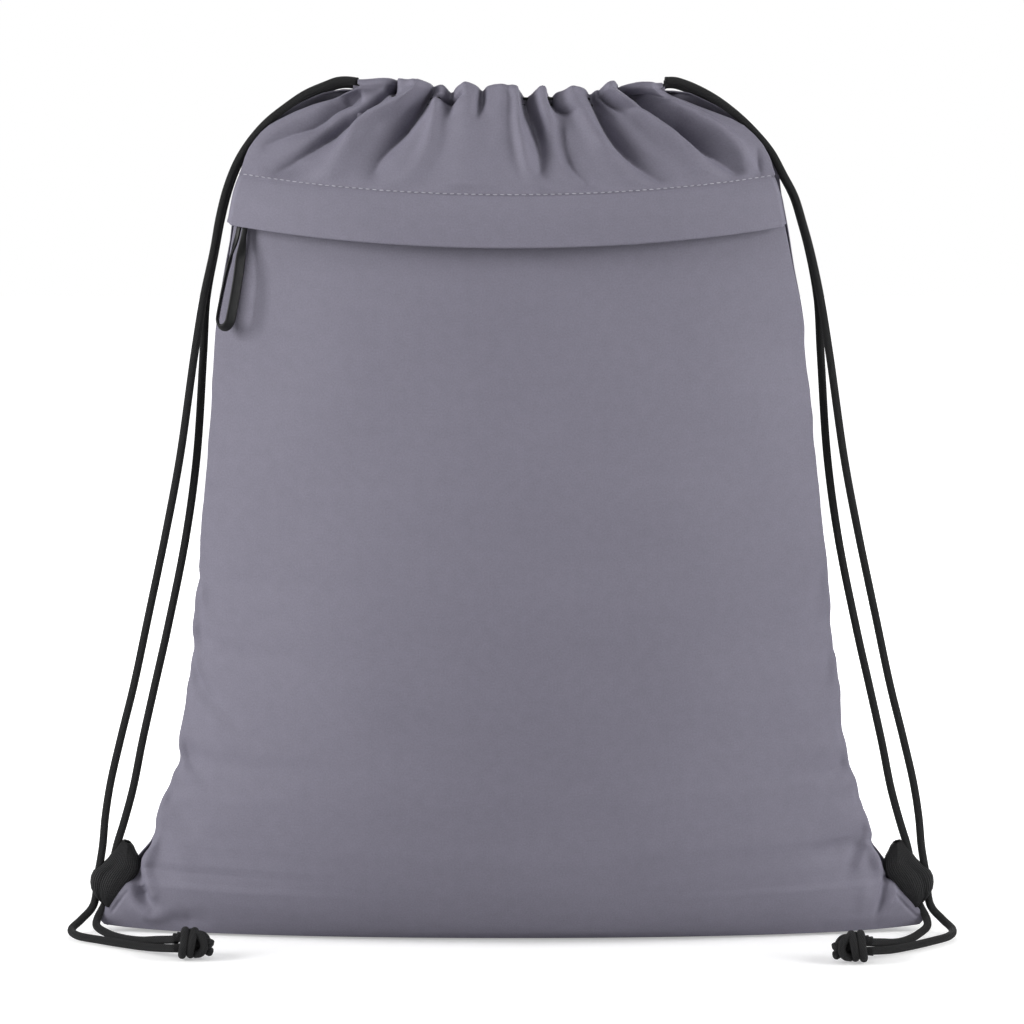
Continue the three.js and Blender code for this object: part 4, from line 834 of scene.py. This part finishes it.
pul = make("puller_strap", V, f, M_RUBBER, np.stack([V[:, 0], V[:, 2]], 1), "puller")
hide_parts("puller_loop")

# ------------------------------------------------------------------ zip pieces that keep their CAD shape
import bmesh
def cut_back(nm, mat, left=-28.25, right=26.95):
    src = NODES[nm]
    bm = bmesh.new(); bm.from_mesh(src.data); bm.transform(src.matrix_world)
    for ph, sg in ((left, -1), (right, 1)):
        t, _, _ = zframe(ph)
        res = bmesh.ops.bisect_plane(bm, geom=bm.verts[:] + bm.edges[:] + bm.faces[:], plane_co=Vector(ARC_C * MM), plane_no=Vector(t * sg), clear_outer=True)
        bmesh.ops.holes_fill(bm, edges=[e for e in res['geom_cut'] if isinstance(e, bmesh.types.BMEdge)])
    me = bpy.data.meshes.new(nm + "_seen"); bm.to_mesh(me); bm.free()
    me.materials.clear(); me.materials.append(mat)
    if not me.uv_layers:
        me.uv_layers.new(name="UVMap")
    uvl = me.uv_layers[0]; uvl.name = "UVMap"
    for l in me.loops:
        c = me.vertices[l.vertex_index].co
        uvl.data[l.index].uv = (c.x / MM, c.z / MM)
    ob = bpy.data.objects.new(nm + "_seen", me)
    col.objects.link(ob)
    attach(ob, "bag")
    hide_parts(nm)
    return ob
cut_back("zip_tape_upper", M_TAPE); cut_back("zip_tape_lower", M_TAPE)
cut_back("zip_coil_upper", M_COIL); cut_back("zip_coil_lower", M_COIL)
for nm, mt in (("zip_stop_left", M_METAL), ("zip_stop_right", M_METAL), ("zip_slider", M_METAL), ("pull_ring", M_METAL)):
    o = NODES[nm]
    o.data.materials.clear(); o.data.materials.append(mt)

# ------------------------------------------------------------------ floor, backdrop and lights
def plane(name, size, loc, mat):
    me = bpy.data.meshes.new(name)
    h = size / 2
    me.from_pydata([(-h, -h, 0), (h, -h, 0), (h, h, 0), (-h, h, 0)], [], [(0, 1, 2, 3)])
    me.materials.append(mat)
    ob = bpy.data.objects.new(name, me)
    ob.location = loc
    col.objects.link(ob)
    ob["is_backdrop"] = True
    return ob
kf = Nodes("studio_floor"); kf.set(Base_Color=(0.74, 0.74, 0.74), Roughness=0.9, Specular_IOR_Level=0.1)
kl = kf.t.nodes.new('ShaderNodeLightPath'); ke = kf.t.nodes.new('ShaderNodeEmission'); ka = kf.t.nodes.new('ShaderNodeAddShader')
ko = kf.n('VectorMath', operation='LENGTH')
kf.link(kf.n('TexCoord').outputs['Object'], ko.inputs[0])
# the floor glows for camera rays only and is evenly white from about 0.42 m out; nearer the bag's middle the glow drops
# to 0.36, a painted shadow pool round the bag on top of its real contact shadow
floor_glow_with_painted_shade = kf.n('MapRange', interpolation_type='SMOOTHSTEP')
floor_glow_with_painted_shade.inputs['From Min'].default_value = 0.17; floor_glow_with_painted_shade.inputs['From Max'].default_value = 0.42
floor_glow_with_painted_shade.inputs['To Min'].default_value = 0.36; floor_glow_with_painted_shade.inputs['To Max'].default_value = 1.15
kf.link(ko.outputs['Value'], floor_glow_with_painted_shade.inputs['Value'])
kf.link(kf.math('MULTIPLY', kl.outputs['Is Camera Ray'], floor_glow_with_painted_shade.outputs['Result']), ke.inputs['Strength'])
kf.link(kf.b.outputs[0], ka.inputs[0]); kf.link(ke.outputs[0], ka.inputs[1]); kf.link(ka.outputs[0], kf.out.inputs[0])
plane("floor", 24.0, (0, 0, -0.0004), kf.m)
world = bpy.data.worlds.new("studio")
bpy.context.scene.world = world
world.use_nodes = True
wt = world.node_tree; wt.nodes.clear()
wo = wt.nodes.new('ShaderNodeOutputWorld')
bg = wt.nodes.new('ShaderNodeBackground'); bg.inputs[0].default_value = (1, 1, 1, 1); bg.inputs[1].default_value = 0.155
bw = wt.nodes.new('ShaderNodeBackground'); bw.inputs[0].default_value = (1, 1, 1, 1); bw.inputs[1].default_value = 1.0
lp = wt.nodes.new('ShaderNodeLightPath'); mx = wt.nodes.new('ShaderNodeMixShader')
wt.links.new(lp.outputs['Is Camera Ray'], mx.inputs[0]); wt.links.new(bg.outputs[0], mx.inputs[1]); wt.links.new(bw.outputs[0], mx.inputs[2])
wt.links.new(mx.outputs[0], wo.inputs[0])
def area(name, loc, target, size, power, colour=(1, 1, 1)):
    d = bpy.data.lights.new(name, 'AREA')
    d.shape = 'RECTANGLE'; d.size, d.size_y = size
    d.energy = power; d.color = colour
    o = bpy.data.objects.new(name, d)
    o.location = loc
    o.rotation_euler = (Vector(target) - Vector(loc)).to_track_quat('-Z', 'Y').to_euler()
    col.objects.link(o)
    return o
area("softbox_left", (-1.65, -0.62, 0.75), (0, 0, 0.25), (0.7, 1.1), 34.0)
area("softbox_right", (1.65, -0.62, 0.75), (0, 0, 0.25), (0.7, 1.1), 28.0)
area("top_soft", (0, -0.75, 1.9), (0, 0, 0.2), (1.2, 0.8), 6.6)
area("back_soft", (0.25, 1.75, 0.95), (0, 0, 0.22), (1.3, 1.0), 15.0)
sc = bpy.context.scene
sc.view_settings.view_transform = 'Standard'
sc.view_settings.look = 'None'
sc.view_settings.exposure = 0.0
sc.view_settings.gamma = 1.0

def plain(b): return [[float(c) for c in p] for p in b] if hasattr(b, "__len__") else b
{"cad": plain(cad_box), "visual": plain(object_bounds())}
